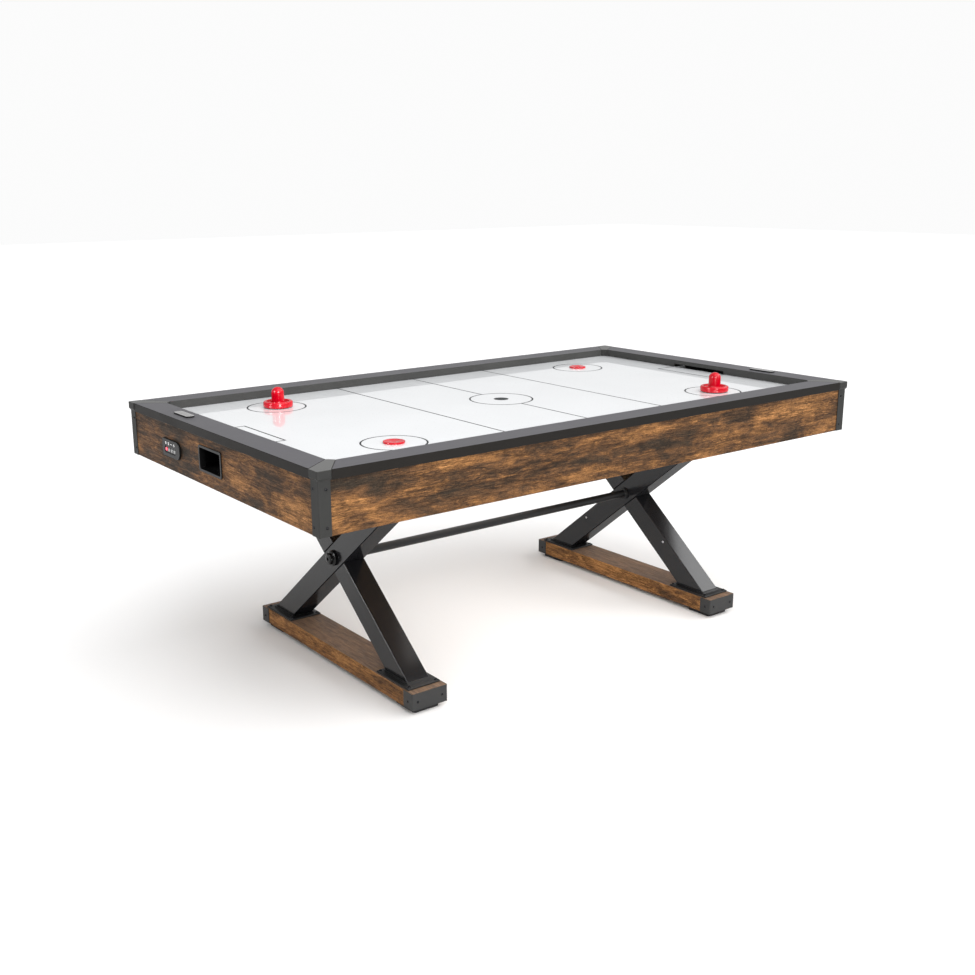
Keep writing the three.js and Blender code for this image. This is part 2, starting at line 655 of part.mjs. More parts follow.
function leveler() {
  const [width, length, padTop] = LEVELER_PAD;
  const pad = raise(rectangle([width, length], LEVELER_CORNER), 0, padTop, 1.5);
  const hubTop = FOOT_BOTTOM - GAP;
  const stem = turned([
    [0, 2], [LEVELER_HUB, 2], [LEVELER_HUB, hubTop],
    [LEVELER_STEM, hubTop], [LEVELER_STEM, LEVELER_STEM_TOP], [0, LEVELER_STEM_TOP],
  ], 20);
  return join(pad, stem);
}

function makeFoot(side, x) {
  const group = place([x, 0, 0]);
  const beamBody = raise(rectangle([FOOT_WIDTH, 2 * FOOT_HALF_LENGTH], 3), FOOT_BOTTOM, FOOT_TOP, 0, 2);
  const stemHole = cylinderZ(LEVELER_STEM + GAP, FOOT_BOTTOM - CLEAR, LEVELER_STEM_TOP + 2, 16);
  const holes = [-LEVELER_Y, LEVELER_Y].map((y) => stemHole.clone().translate(0, y, 0));
  add(`foot_beam_${side}`, cut(beamBody, ...holes), rusticWood, group);

  for (const [row, sign, turn] of [['front', -1, 0], ['back', 1, Math.PI]]) {
    const [low, high] = [FOOT_TOP + GAP, FOOT_TOP + GAP + PLATE_SIZE[2]];
    const plateSpan = rectangle(PLATE_SIZE.slice(0, 2), 4, [0, sign * legAxis(LEG_FOOT)]);
    add(`foot_plate_${row}_${side}`, raise(plateSpan, low, high, 2, 2), blackSteel, group);
    add(`foot_cap_${row}_${side}`, footCap().rotateZ(turn), blackSteel, group);
    add(`leveler_${row}_${side}`, leveler().translate(0, sign * LEVELER_Y, 0), blackPlastic, group);
  }
}

function makeUndercarriage() {
  for (const [side, sign] of [['left', -1], ['right', 1]]) {
    makeLegs(side, sign * LEG_X, sign);
    makeFoot(side, sign * LEG_X);
  }
  makeStretcher();
}

// ---------------------------------------------------------------- loose pieces

function striker() {
  const [rim, rimRadius] = [20.5, 6];
  const [recess, recessFloor] = [38, 13];
  const [domeStart, domeSteps] = [48, 5];
  const dome = Array.from({ length: domeSteps }, (_, i) => {
    const angle = ((i / domeSteps) * Math.PI) / 2;
    return [KNOB_RADIUS * Math.cos(angle), domeStart + (STRIKER_HEIGHT - domeStart) * Math.sin(angle)];
  });
  return turned([
    [0, 0], [STRIKER_RADIUS - 3, 0], [STRIKER_RADIUS - 0.5, 3],
    ...arc([STRIKER_RADIUS - rimRadius, rim - rimRadius], rimRadius, 0, 90, 3),
    [recess + 1, rim - 2], [recess - 2, recessFloor + 1], [recess - 5, recessFloor],
    [KNOB_RADIUS + 6, recessFloor], [KNOB_RADIUS + 2, recessFloor + 3], [KNOB_RADIUS + 0.5, recessFloor + 8],
    ...dome, [0, STRIKER_HEIGHT],
  ], 28);
}

function puck() {
  const top = PUCK_THICKNESS;
  return turned([
    [0, 0], [PUCK_RADIUS - 1, 0], [PUCK_RADIUS, 1], [PUCK_RADIUS, top - 1], [PUCK_RADIUS - 1, top],
    [PUCK_RADIUS - 6, top], [PUCK_RADIUS - 7, top - 0.8], [0, top - 0.8],
  ], 28);
}

function makeLoosePieces() {
  const [spotX, spotY] = SPOT;
  const [shiftX, shiftY] = STRIKER_SHIFT;
  const surfaceZ = PLAY_SURFACE + GAP;
  add('striker_left', striker(), redPlastic, place([-spotX + shiftX, spotY + shiftY, surfaceZ]));
  add('striker_right', striker(), redPlastic, place([spotX + shiftX, -spotY + shiftY, surfaceZ]));
  add('puck_left', puck(), redPlastic, place([-spotX, -spotY, surfaceZ]));
  add('puck_right', puck(), redPlastic, place([spotX, spotY, surfaceZ]));
}

// ---------------------------------------------------------------- assembly

makePlayfield();
makePlenum();
makeBlower();
makeSideRails();
makeCornerGuards();
makeSideAprons();
makeEnds();
makeUndercarriage();
makeLoosePieces();

export default root;
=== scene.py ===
"""The looks of an air hockey table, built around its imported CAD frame. Lengths are in metres."""

import math

import bmesh
import bpy
from mathutils import Matrix, Quaternion, Vector


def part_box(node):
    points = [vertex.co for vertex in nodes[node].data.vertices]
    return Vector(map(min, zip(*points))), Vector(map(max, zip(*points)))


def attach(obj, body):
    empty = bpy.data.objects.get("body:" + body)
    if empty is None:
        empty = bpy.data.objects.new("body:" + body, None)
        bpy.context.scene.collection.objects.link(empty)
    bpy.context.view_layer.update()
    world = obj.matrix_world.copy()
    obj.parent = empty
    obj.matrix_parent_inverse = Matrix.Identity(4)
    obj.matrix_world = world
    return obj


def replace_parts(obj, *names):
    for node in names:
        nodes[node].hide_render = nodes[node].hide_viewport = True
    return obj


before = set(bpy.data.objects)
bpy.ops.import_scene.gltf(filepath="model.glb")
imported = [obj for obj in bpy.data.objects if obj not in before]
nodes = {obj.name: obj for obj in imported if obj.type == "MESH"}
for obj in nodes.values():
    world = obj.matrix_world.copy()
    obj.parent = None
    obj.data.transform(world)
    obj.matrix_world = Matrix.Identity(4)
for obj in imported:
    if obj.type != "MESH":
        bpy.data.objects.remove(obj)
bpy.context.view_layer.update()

MM = 0.001
ENDS = {"left": -1, "right": 1}
ROWS = {"front": -1, "back": 1}

# ---------------------------------------------------------------- camera, light and floor

# Angles are in degrees, the lens is in millimetres.
CAMERA_PLACE = (-2.4153, -2.9987, 1.4878)
CAMERA_AZIMUTH = -36.608
CAMERA_ELEVATION = 14.263
CAMERA_ROLL = -0.393
CAMERA_LENS = 42.57
CAMERA_SHIFT = (0.0311, -0.0088)

BACKDROP = 0.97  # how bright the sky looks
SKY = 0.61  # how much it lights
FLOOR_SIZE = 60
KEY_STRENGTH = 2.6
KEY_TURN = (34, 16)
KEY_SPREAD = 80

TABLE_TOP = (0, 0, 0.8)
FLOOR_SPOT = (0, 0, 0)
# Each lamp's name, place, the point that it shines at, size, power, and whether it shows in gloss only.
LAMPS = (
    ("strip_left", (-4.4, 0.3, 2.2), TABLE_TOP, (1.3, 1.8), 150, True),
    ("strip_front", (-1.5, -4.0, 2.1), TABLE_TOP, (1.3, 1.8), 230, True),
    ("side", (-1.7, -2.6, 1.7), TABLE_TOP, (1.2, 1.2), 25, False),
    ("softbox", (3.5, -1.0, 2.9), TABLE_TOP, (1.6, 1.6), 26, False),
    ("fill", (0, 0, 0.63), FLOOR_SPOT, (0.66, 1.0), 3.4, False),
)

# ---------------------------------------------------------------- places


def centre(name):
    """The middle of a CAD node's box."""
    low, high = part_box(name)
    return (low + high) / 2


PLAY_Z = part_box("playfield_board")[1].z
WALL_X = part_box("end_rail_right")[0].x
WALL_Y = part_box("side_rail_back")[0].y
PANEL_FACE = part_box("control_panel")[0].x
PUCK_SPOT = Vector(centre("puck_right").xy)

# ---------------------------------------------------------------- shader kit


def tone(red, green, blue):
    """A colour as it looks on a screen, from 0 to 255, in the linear values of a shader."""
    shares = [value / 255 for value in (red, green, blue)]
    return (*[s / 12.92 if s <= 0.04045 else ((s + 0.055) / 1.055) ** 2.4 for s in shares], 1.0)


class Shader:
    """A Principled material and the nodes that feed it."""

    def __init__(self, name, fixed):
        self.material = bpy.data.materials.new(name)
        self.material.use_nodes = True
        self.tree = self.material.node_tree
        self.surface = self.tree.nodes["Principled BSDF"]
        for socket, value in fixed.items():
            self.surface.inputs[socket].default_value = value
        self.place = self.node("TexCoord").outputs["Object"]

    def node(self, kind, inputs=None, **settings):
        made = self.tree.nodes.new("ShaderNode" + kind)
        for key, value in settings.items():
            setattr(made, key, value)
        for key, value in (inputs or {}).items():
            self.feed(made.inputs[key], value)
        return made

    def feed(self, socket, value):
        if isinstance(value, bpy.types.NodeSocket):
            self.tree.links.new(value, socket)
        else:
            socket.default_value = value

    def maths(self, operation, *values):
        return self.node("Math", dict(enumerate(values)), operation=operation).outputs[0]

    def span(self, value, low, high, to_low, to_high):
        """A value's stretch from low to high, moved to another and held inside it."""
        return self.node("MapRange", dict(enumerate((value, low, high, to_low, to_high)))).outputs[0]

    def stretch(self, vector, scale, shift=0.0):
        return self.node("Mapping", {0: vector, 1: (shift, shift, shift), 3: scale}).outputs[0]

    def noise(self, scale, detail=2.0, rough=0.5, bend=0.0, vector=None, shift=0.0):
        """Smooth noise; scale is features per metre, one number or one for each axis."""
        scale = scale if isinstance(scale, tuple) else (scale, scale, scale)
        inputs = {
            "Vector": self.stretch(vector or self.place, scale, shift),
            "Scale": 1.0,
            "Detail": detail,
            "Roughness": rough,
            "Distortion": bend,
        }
        return self.node("TexNoise", inputs).outputs[0]

    def cells(self, scale, vector=None, distance="EUCLIDEAN", output="Color"):
        inputs = {"Vector": self.stretch(vector or self.place, scale), "Scale": 1.0}
        return self.node("TexVoronoi", inputs, distance=distance).outputs[output]

    def mix(self, factor, first, second, blend="MIX"):
        inputs = {0: factor, 6: first, 7: second}
        return self.node("Mix", inputs, data_type="RGBA", blend_type=blend).outputs[2]

    def shade(self, colour, value):
        """A colour made darker or lighter by a value."""
        return self.mix(1.0, colour, value, "MULTIPLY")

    def ramp(self, value, *stops):
        """A value's colour between stops, each a position and a colour."""
        made = self.node("ValToRGB", {0: value})
        elements = made.color_ramp.elements
        elements[0].position = stops[0][0]
        elements[1].position = stops[-1][0]
        for position, _ in stops[1:-1]:
            elements.new(position)
        for element, (_, colour) in zip(elements, stops):
            element.color = colour
        return made.outputs[0]

    def looks_along(self, axis):
        """1 on faces that look along an axis or back along it, 0 on the others."""
        normal = self.node("NewGeometry").outputs["Normal"]
        share = self.maths("ABSOLUTE", self.node("SeparateXYZ", {0: normal}).outputs[axis])
        return self.span(share, 0.6, 0.95, 0.0, 1.0)

    def bump(self, height, depth):
        """The normal of a surface that rises by depth where height is 1."""
        return self.node("Bump", {"Height": height, "Distance": depth}).outputs[0]

    def finish(self, colour=None, roughness=None, normal=None):
        for socket, value in (("Base Color", colour), ("Roughness", roughness), ("Normal", normal)):
            if value is not None:
                self.feed(self.surface.inputs[socket], value)
        return self.material


# ---------------------------------------------------------------- materials

WOOD_SOOT = tone(50, 42, 34)
WOOD_UMBER = tone(72, 54, 39)
WOOD_BROWN = tone(98, 69, 45)
WOOD_TAN = tone(126, 88, 53)
WOOD_HONEY = tone(160, 113, 68)
# a greyish tone for the feet's upper faces, a painted sheen of grazing reflection
WOOD_PAINTED_SHEEN = tone(120, 104, 92)
WOOD_CRACK = tone(30, 23, 18)


def rustic_wood(name, order, shift, darkening_and_painted_light=0.0, top_painted_sheen=0.0):
    """Printed old-plank laminate; order puts the axis that the grain follows first.

    Noise scales are features per metre, along the grain and then across it.
    The fourth argument darkens the wood; the feet take a negative value that lightens them, painted light
    against the shade under the table. The last argument is how much of the upper faces is painted greyish,
    a painted sheen of grazing reflection.
    """
    s = Shader(name, {"Specular IOR Level": 0.08})
    split = s.node("SeparateXYZ", {0: s.place}).outputs
    along, across, up = [split["XYZ".index(axis)] for axis in order]
    straight = s.node("CombineXYZ", {0: along, 1: across, 2: up}).outputs[0]
    warp = s.noise((3.4, 14, 14), detail=4, vector=straight, shift=shift)
    bent = s.node("CombineXYZ", {
        0: along,
        1: s.maths("MULTIPLY_ADD", warp, 0.016, across),
        2: s.maths("MULTIPLY_ADD", warp, 0.016, up),
    }).outputs[0]

    zones = s.noise((2.6, 10, 10), detail=3, rough=0.55, vector=straight, shift=shift)
    patches = s.noise((12, 34, 34), detail=8, rough=0.72, bend=0.8, vector=bent, shift=shift)
    planks = s.cells((6, 40, 40), vector=bent, distance="CHEBYCHEV")
    fibres = s.noise((13, 210, 210), detail=5, rough=0.78, bend=0.4, vector=bent, shift=shift)
    hairs = s.noise((70, 440, 440), detail=4, rough=0.8, vector=bent)
    specks = s.noise((240, 380, 380), detail=4, rough=0.85)
    sawn = s.noise((6, 14, 14), detail=3, vector=straight, shift=-shift)
    hewn_mask = s.span(sawn, 0.52, 0.66, 0.0, 1.0)
    hewn = s.noise((170, 40, 40), detail=4, rough=0.7, bend=0.8, vector=straight)
    folds = []
    for scale, width in (((6, 58, 58), 0.03), ((11, 120, 120), 0.045)):
        rift = s.noise(scale, detail=4, rough=0.6, bend=0.2, vector=bent, shift=shift)
        folds.append(s.span(s.maths("ABSOLUTE", s.maths("SUBTRACT", rift, 0.5)), 0.0, width, 1.0, 0.0))
    cracked = s.noise((6, 24, 24), detail=2, vector=straight, shift=2 * shift)
    crack_mask = s.span(cracked, 0.42, 0.5, 0.0, 1.0)
    cracks = s.maths("MULTIPLY", s.maths("MAXIMUM", *folds), crack_mask)
    knots = s.span(s.cells((6, 15, 15), vector=bent, output="Distance"), 0.04, 0.2, 0.8, 0.0)

    depth = s.maths("MULTIPLY_ADD", zones, 0.6, s.maths("MULTIPLY_ADD", patches, 0.62, -0.13 - darkening_and_painted_light))
    depth = s.maths("MULTIPLY_ADD", planks, 0.09, s.maths("SUBTRACT", depth, 0.045))
    depth = s.maths("MULTIPLY_ADD", fibres, 0.16, s.maths("SUBTRACT", depth, 0.08))
    colour = s.ramp(
        depth,
        (0.34, WOOD_SOOT), (0.43, WOOD_UMBER), (0.50, WOOD_BROWN), (0.57, WOOD_TAN), (0.66, WOOD_HONEY),
    )
    colour = s.shade(colour, s.span(fibres, 0.34, 0.66, 0.6, 1.36))
    colour = s.shade(colour, s.span(hairs, 0.34, 0.66, 0.62, 1.4))
    colour = s.shade(colour, s.span(specks, 0.36, 0.64, 0.6, 1.4))
    scored = s.shade(colour, s.span(hewn, 0.38, 0.62, 0.82, 1.16))
    colour = s.mix(hewn_mask, colour, scored)
    holes = s.maths("MAXIMUM", s.maths("MULTIPLY", cracks, 0.7), knots)
    colour = s.mix(holes, colour, WOOD_CRACK)
    # the upper faces turn greyish, a painted sheen of grazing reflection
    if top_painted_sheen:
        worn = s.shade(WOOD_PAINTED_SHEEN, s.span(fibres, 0.3, 0.7, 0.6, 1.35))
        colour = s.mix(s.maths("MULTIPLY", s.looks_along(AXIS_Z), top_painted_sheen), colour, worn)

    relief = s.maths("MULTIPLY_ADD", hairs, 0.35, s.maths("SUBTRACT", fibres, cracks))
    roughness = s.span(fibres, 0.3, 0.7, 0.6, 0.44)
    return s.finish(colour, roughness, s.bump(relief, 0.1 * MM))


def playfield_laminate():
    """Gloss white laminate, with the faint orange peel of its press."""
    s = Shader("playfield_laminate", {"Coat Weight": 1.0, "Coat Roughness": 0.03, "Coat IOR": 1.6})
    cloud = s.noise(4, detail=3)
    colour = s.ramp(cloud, (0.3, tone(238, 240, 242)), (0.7, tone(243, 245, 247)))
    rub = s.noise((160, 18, 18), detail=3)
    return s.finish(colour, s.span(rub, 0.3, 0.7, 0.3, 0.42), s.bump(s.noise(55, detail=2), 0.006 * MM))


def printed_ink(name, colour):
    """Flat ink on a board or a plate."""
    s = Shader(name, {"Specular IOR Level": 0.12})
    worn = s.shade(colour, s.span(s.noise(900, detail=3), 0.3, 0.7, 0.86, 1.1))
    return s.finish(worn, s.span(s.noise(60), 0.3, 0.7, 0.45, 0.6))


def embossed(name, colour, roughness, grain, depth, dust=0.12, level=0.5):
    """Moulded plastic, foil or coating: a fine even grain, faint mottling and uneven gloss."""
    s = Shader(name, {"Specular IOR Level": level})
    fine = s.noise(grain, detail=3, rough=0.6)
    broad = s.noise(7, detail=4)
    smears = s.noise((26, 9, 60), detail=3, rough=0.6, bend=0.5)
    shown = s.shade(colour, s.span(broad, 0.3, 0.7, 1 - dust, 1 + dust))
    shown = s.shade(shown, s.span(fine, 0.25, 0.75, 1 - dust, 1 + dust))
    dull = s.span(smears, 0.3, 0.7, roughness - 0.05, roughness + 0.07)
    return s.finish(shown, dull, s.bump(fine, depth))


def face_tone_and_painted_light(name, sides, face, axis, roughness, level, grain=900, depth=0.02 * MM, inner=None):
    """A satin skin with another tone and more gloss on the faces across one axis.

    On the display this is the body's own two-tone colour. On the rails and guards the lighter tops are
    painted light, and on the return bezel and control panel the near-black walls are painted shade.
    inner is a lighter tone for the walls round the playfield, painted light thrown back from the playfield.
    """
    s = Shader(name, {})
    fine = s.noise(grain, detail=3, rough=0.65)
    broad = s.noise(5, detail=4)
    # the walls round the playfield get a lighter tone, painted light thrown back from the playfield
    if inner:
        split = s.node("SeparateXYZ", {0: s.node("NewGeometry").outputs["Position"]}).outputs
        out_x = s.maths("DIVIDE", s.maths("ABSOLUTE", split[0]), WALL_X)
        out_y = s.maths("DIVIDE", s.maths("ABSOLUTE", split[1]), WALL_Y)
        sides = s.mix(s.span(s.maths("MAXIMUM", out_x, out_y), 1.001, 1.004, 1.0, 0.0), sides, inner)
    # faces across the axis get more gloss; on the rails and guards this is a painted sheen on the tops
    mask = s.looks_along(axis)
    s.feed(s.surface.inputs["Specular IOR Level"], s.span(mask, 0.0, 1.0, 0.4 * level, 1.3 * level))
    colour = s.mix(mask, sides, face)
    colour = s.shade(colour, s.span(broad, 0.3, 0.7, 0.92, 1.07))
    colour = s.shade(colour, s.span(fine, 0.25, 0.75, 0.88, 1.12))
    return s.finish(colour, s.span(broad, 0.3, 0.7, roughness - 0.05, roughness + 0.05), s.bump(fine, depth))


def leg_laminate():
    """Charcoal foil with a faint grain along the beams and a lacquered gloss."""
    s = Shader("leg_laminate", {})
    up = s.node("SeparateXYZ", {0: s.node("NewGeometry").outputs["Normal"]}).outputs[2]
    # down-facing faces lose most of their gloss, painted shade under the beams
    s.feed(s.surface.inputs["Specular IOR Level"], s.span(up, -0.5, -0.1, 0.02, 0.36))
    grain = s.noise((420, 60, 36), detail=4, rough=0.65)
    broad = s.noise(6, detail=3)
    fine = s.noise(1100, detail=2)
    colour = s.shade(tone(24, 24, 26), s.span(grain, 0.3, 0.7, 0.86, 1.14))
    colour = s.shade(colour, s.span(broad, 0.3, 0.7, 0.92, 1.08))
    return s.finish(colour, s.span(grain, 0.3, 0.7, 0.14, 0.2), s.bump(fine, 0.004 * MM))


def gloss_red():
    """Polished red plastic, with the fine rub marks of play."""
    s = Shader("red_plastic", {"Specular IOR Level": 0.36})
    cloud = s.noise(30, detail=3)
    colour = s.ramp(cloud, (0.3, tone(196, 0, 24)), (0.7, tone(210, 0, 34)))
    rub = s.noise((90, 90, 900), detail=3, rough=0.6, bend=0.6)
    return s.finish(colour, s.span(rub, 0.35, 0.7, 0.03, 0.07), s.bump(rub, 0.001 * MM))


def pressed_chips(name, light, dark):
    """Bare particle board: pressed chips of two tones."""
    s = Shader(name, {"Specular IOR Level": 0.2})
    chips = s.cells((420, 160, 420))
    flakes = s.cells((130, 420, 420))
    colour = s.mix(s.span(chips, 0.1, 0.9, 0.0, 1.0), dark, light)
    colour = s.shade(colour, s.span(flakes, 0.1, 0.9, 0.78, 1.12))
    colour = s.shade(colour, s.span(s.noise(5, detail=3), 0.3, 0.7, 0.9, 1.08))
    return s.finish(colour, 0.85, s.bump(chips, 0.08 * MM))


def turned_steel(name, colour, roughness):
    """Metal with fine machining marks and a little stain."""
    s = Shader(name, {"Metallic": 0.9})
    marks = s.noise((60, 60, 2200), detail=2)
    stain = s.noise(70, detail=4)
    shown = s.shade(colour, s.span(stain, 0.3, 0.7, 0.82, 1.1))
    dull = s.span(marks, 0.3, 0.7, roughness - 0.08, roughness + 0.1)
    return s.finish(shown, dull, s.bump(marks, 0.01 * MM))


def felt():
    """Short black fuzz."""
    s = Shader("felt", {"Roughness": 0.95, "Sheen Weight": 0.6, "Specular IOR Level": 0.1})
    fuzz = s.noise(1500, detail=4, rough=0.75)
    colour = s.ramp(fuzz, (0.3, tone(22, 22, 24)), (0.7, tone(52, 50, 52)))
    return s.finish(colour, normal=s.bump(fuzz, 0.15 * MM))


def glowing_key(name, colour, glow, strength):
    """A translucent key that glows by emission, painted light; colour and glow vary a little."""
    s = Shader(name, {"Emission Strength": strength, "Coat Weight": 0.3})
    cloud = s.noise(260, detail=2)
    s.feed(s.surface.inputs["Emission Color"], s.shade(glow, s.span(cloud, 0.3, 0.7, 0.85, 1.1)))
    return s.finish(s.shade(colour, s.span(cloud, 0.3, 0.7, 0.92, 1.06)), 0.35, s.bump(cloud, 0.01 * MM))


def circuit_board():
    """Green solder mask over a grid of traces."""
    s = Shader("circuit_board", {"Coat Weight": 0.4})
    traces = s.cells((10, 420, 420), distance="MANHATTAN", output="Distance")
    shown = s.mix(s.span(traces, 0.42, 0.5, 0.0, 0.8), tone(24, 84, 50), tone(58, 130, 82))
    shown = s.shade(shown, s.span(s.noise(300), 0.3, 0.7, 0.9, 1.1))
    return s.finish(shown, 0.35, s.bump(traces, 0.03 * MM))


def studio_floor():
    """A plain pale floor."""
    s = Shader("studio_floor", {"Specular IOR Level": 0.1})
    cloud = s.noise(0.8, detail=3)
    colour = s.ramp(cloud, (0.3, tone(247, 247, 247)), (0.7, tone(249, 249, 249)))
    return s.finish(colour, 0.8)


AXIS_X, AXIS_Z = 0, 2

WOOD_SIDE = rustic_wood("rustic_wood_side", "XYZ", 3.1, darkening_and_painted_light=-0.024)
WOOD_END = rustic_wood("rustic_wood_end", "YXZ", 7.7, darkening_and_painted_light=-0.01)
# the feet are lightened, painted light against the table's shade, and their tops take a painted sheen
WOOD_FOOT = rustic_wood("rustic_wood_foot", "YXZ", 12.3, darkening_and_painted_light=-0.15, top_painted_sheen=0.75)
PLAYFIELD = playfield_laminate()
LINE_INK = printed_ink("line_ink", tone(52, 54, 56))
ICON_INK = printed_ink("icon_ink", tone(244, 244, 244))
HOLE_SHADE = embossed("hole_shade", tone(120, 122, 124), 0.6, 2000, 0.01 * MM)
# the rails' tops and inner walls are painted lighter than their outer sides, painted light
RAIL = face_tone_and_painted_light(
    "rail_laminate", tone(33, 31, 29), tone(82, 81, 85), AXIS_Z, 0.42, 0.18, inner=tone(70, 70, 69),
)
# the guards' tops are painted lighter and glossier than their sides, painted light
GUARD = face_tone_and_painted_light("guard_plastic", tone(52, 52, 51), tone(95, 95, 94), AXIS_Z, 0.44, 0.2, grain=1400)
LEG = leg_laminate()
STEEL = embossed("black_steel", tone(22, 22, 23), 0.42, 1800, 0.02 * MM, level=0.3)
KNOB_BLACK = embossed("knob_black", tone(7, 7, 7), 0.22, 900, 0.004 * MM, level=0.25)
CAP_STEEL = embossed("cap_steel", tone(41, 41, 41), 0.44, 1600, 0.02 * MM, level=0.35)
BLACK_PLASTIC = embossed("black_plastic", tone(20, 20, 21), 0.5, 1500, 0.02 * MM, level=0.3)
# near black: the goal boxes' black plastic, darkened further as painted shade inside the goal and return
# openings
GOAL_BLACK = embossed("goal_black", tone(9, 9, 9), 0.7, 1200, 0.02 * MM, level=0.08)
SATIN_BLACK = embossed("satin_black", tone(10, 10, 11), 0.3, 900, 0.006 * MM, level=0.3)
# the bezel's walls are near black, painted shade in the return opening; its face keeps a dark grey
RETURN_PLASTIC = face_tone_and_painted_light("return_plastic", tone(9, 9, 9), tone(30, 30, 31), AXIS_X, 0.42, 0.2, grain=1500)
# the panel's faces that do not look along X are near black, painted shade in its recess
PANEL_PLASTIC = face_tone_and_painted_light("panel_plastic", tone(9, 9, 9), tone(24, 24, 25), AXIS_X, 0.4, 0.2, grain=1600)
MOUNT_PAINT = embossed("mount_board", tone(22, 22, 23), 0.55, 500, 0.05 * MM, level=0.3)
DISPLAY = face_tone_and_painted_light("display_plastic", tone(9, 9, 9), tone(158, 157, 157), AXIS_Z, 0.3, 0.3, grain=1300)
LENS = embossed("display_lens", tone(136, 135, 135), 0.16, 500, 0.002 * MM, dust=0.03)
SCREW = turned_steel("screw_black", tone(34, 34, 36), 0.26)
BRIGHT_STEEL = turned_steel("bright_steel", tone(176, 176, 178), 0.32)
MOTOR_STEEL = turned_steel("motor_steel", tone(150, 150, 152), 0.4)
CHIPBOARD = pressed_chips("bare_board", tone(186, 152, 108), tone(132, 98, 64))
RED = gloss_red()
FELT = felt()
# the keys glow by emission, painted light
KEY_RED = glowing_key("button_red", tone(255, 105, 125), tone(255, 60, 84), 0.5)
KEY_GREY = glowing_key("button_grey", tone(150, 150, 150), tone(190, 190, 190), 0.03)
CIRCUIT = circuit_board()

# ---------------------------------------------------------------- shaping kit


def soften(target, width, segments=2):
    """Rounds an object's edges and keeps its flat faces flat."""
    weld = target.modifiers.new("weld", "WELD")
    weld.merge_threshold = 0.01 * MM
    flatten = target.modifiers.new("flatten", "DECIMATE")
    flatten.decimate_type = "DISSOLVE"
    flatten.angle_limit = math.radians(0.5)
    bevel = target.modifiers.new("bevel", "BEVEL")
    bevel.width = width
    bevel.segments = segments
    bevel.limit_method = "ANGLE"
    bevel.angle_limit = math.radians(32)
    bevel.miter_outer = "MITER_ARC"
    target.modifiers.new("normals", "WEIGHTED_NORMAL").weight = 80


def dress(prefix, material, width):
    """Gives the CAD nodes whose names start with prefix their material and rounded edges."""
    for name, node in nodes.items():
        if name.startswith(prefix):
            for slot in node.material_slots:
                slot.material = material
            soften(node, width)


def piece(name, bm, material, body, crease=35):
    """Makes an object of a bmesh and lets it ride on a body."""
    bmesh.ops.recalc_face_normals(bm, faces=bm.faces)
    mesh = bpy.data.meshes.new(name)
    bm.to_mesh(mesh)
    bm.free()
    mesh.materials.append(material)
    mesh.shade_smooth()
    mesh.set_sharp_from_angle(angle=math.radians(crease))
    made = bpy.data.objects.new(name, mesh)
    bpy.context.scene.collection.objects.link(made)
    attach(made, body)
    return made


def lathe(bm, profile, steps=64, matrix=Matrix(), closed=False):
    """Turns [radius, height] points about Z. A radius may be a function of the angle."""
    rings = []
    for radius, height in profile:
        if radius == 0:
            rings.append([bm.verts.new(matrix @ Vector((0, 0, height)))])
            continue
        ring = []
        for i in range(steps):
            angle = 2 * math.pi * i / steps
            reach = radius(angle) if callable(radius) else radius
            point = Vector((reach * math.cos(angle), reach * math.sin(angle), height))
            ring.append(bm.verts.new(matrix @ point))
        rings.append(ring)
    for below, above in zip(rings, rings[1:] + rings[:1] if closed else rings[1:]):
        for i in range(steps):
            j = (i + 1) % steps
            lower = [below[i % len(below)], below[j % len(below)]]
            upper = [above[j % len(above)], above[i % len(above)]]
            bm.faces.new(list(dict.fromkeys(lower + upper)))


def inset(points, amount):
    """A counter-clockwise outline moved inwards."""
    moved = []
    for before, here, after in zip(points[-1:] + points[:-1], points, points[1:] + points[:1]):
        into, out = (here - before).normalized(), (after - here).normalized()
        normals = [Vector((-edge.y, edge.x)) for edge in (into, out)]
        moved.append(here + (normals[0] + normals[1]) * amount / (1 + normals[0].dot(normals[1])))
    return moved


def loft(bm, rings, closed=False):
    """Skins equal rings of points; the first and last are filled, or joined where closed is true."""
    made = [[bm.verts.new(point) for point in ring] for ring in rings]
    count = len(made[0])
    for below, above in zip(made, made[1:] + made[:1] if closed else made[1:]):
        for i in range(count):
            j = (i + 1) % count
            bm.faces.new([below[i], below[j], above[j], above[i]])
    if not closed:
        bm.faces.new(made[0][::-1])
        bm.faces.new(made[-1])


def slab(bm, points, low, high, edge=0.0, matrix=Matrix()):
    """An outline raised from low to high, with its edges bevelled."""
    levels = [(edge, low), (0, low + edge), (0, high - edge), (edge, high)] if edge else [(0, low), (0, high)]
    loft(bm, [
        [matrix @ Vector((*point, height)) for point in inset(points, amount)] for amount, height in levels
    ])


def rounded(width, height, radius, place=(0, 0), steps=6):
    """A rectangle's outline with round corners."""
    points = []
    for quarter, (x, y) in enumerate(((1, 1), (-1, 1), (-1, -1), (1, -1))):
        for i in range(steps + 1):
            angle = (quarter + i / steps) * math.pi / 2
            across = x * (width / 2 - radius) + radius * math.cos(angle)
            along = y * (height / 2 - radius) + radius * math.sin(angle)
            points.append(Vector((place[0] + across, place[1] + along)))
    return points


def arc(place, radius, start, end, steps):
    """Points round a centre from one angle to another, in degrees."""
    angles = [math.radians(start + (end - start) * i / steps) for i in range(steps + 1)]
    return [(place[0] + radius * math.cos(a), place[1] + radius * math.sin(a)) for a in angles]


def facing(place, direction):
    """Puts a piece drawn along Z at a place, looking in a direction."""
    return Matrix.Translation(place) @ Vector(direction).to_track_quat("Z", "Y").to_matrix().to_4x4()


# ---------------------------------------------------------------- fasteners

SCREW_HEAD = 4.0 * MM
BOLT_HEAD = 6.5 * MM
BEAM_BOLT = 4.5 * MM


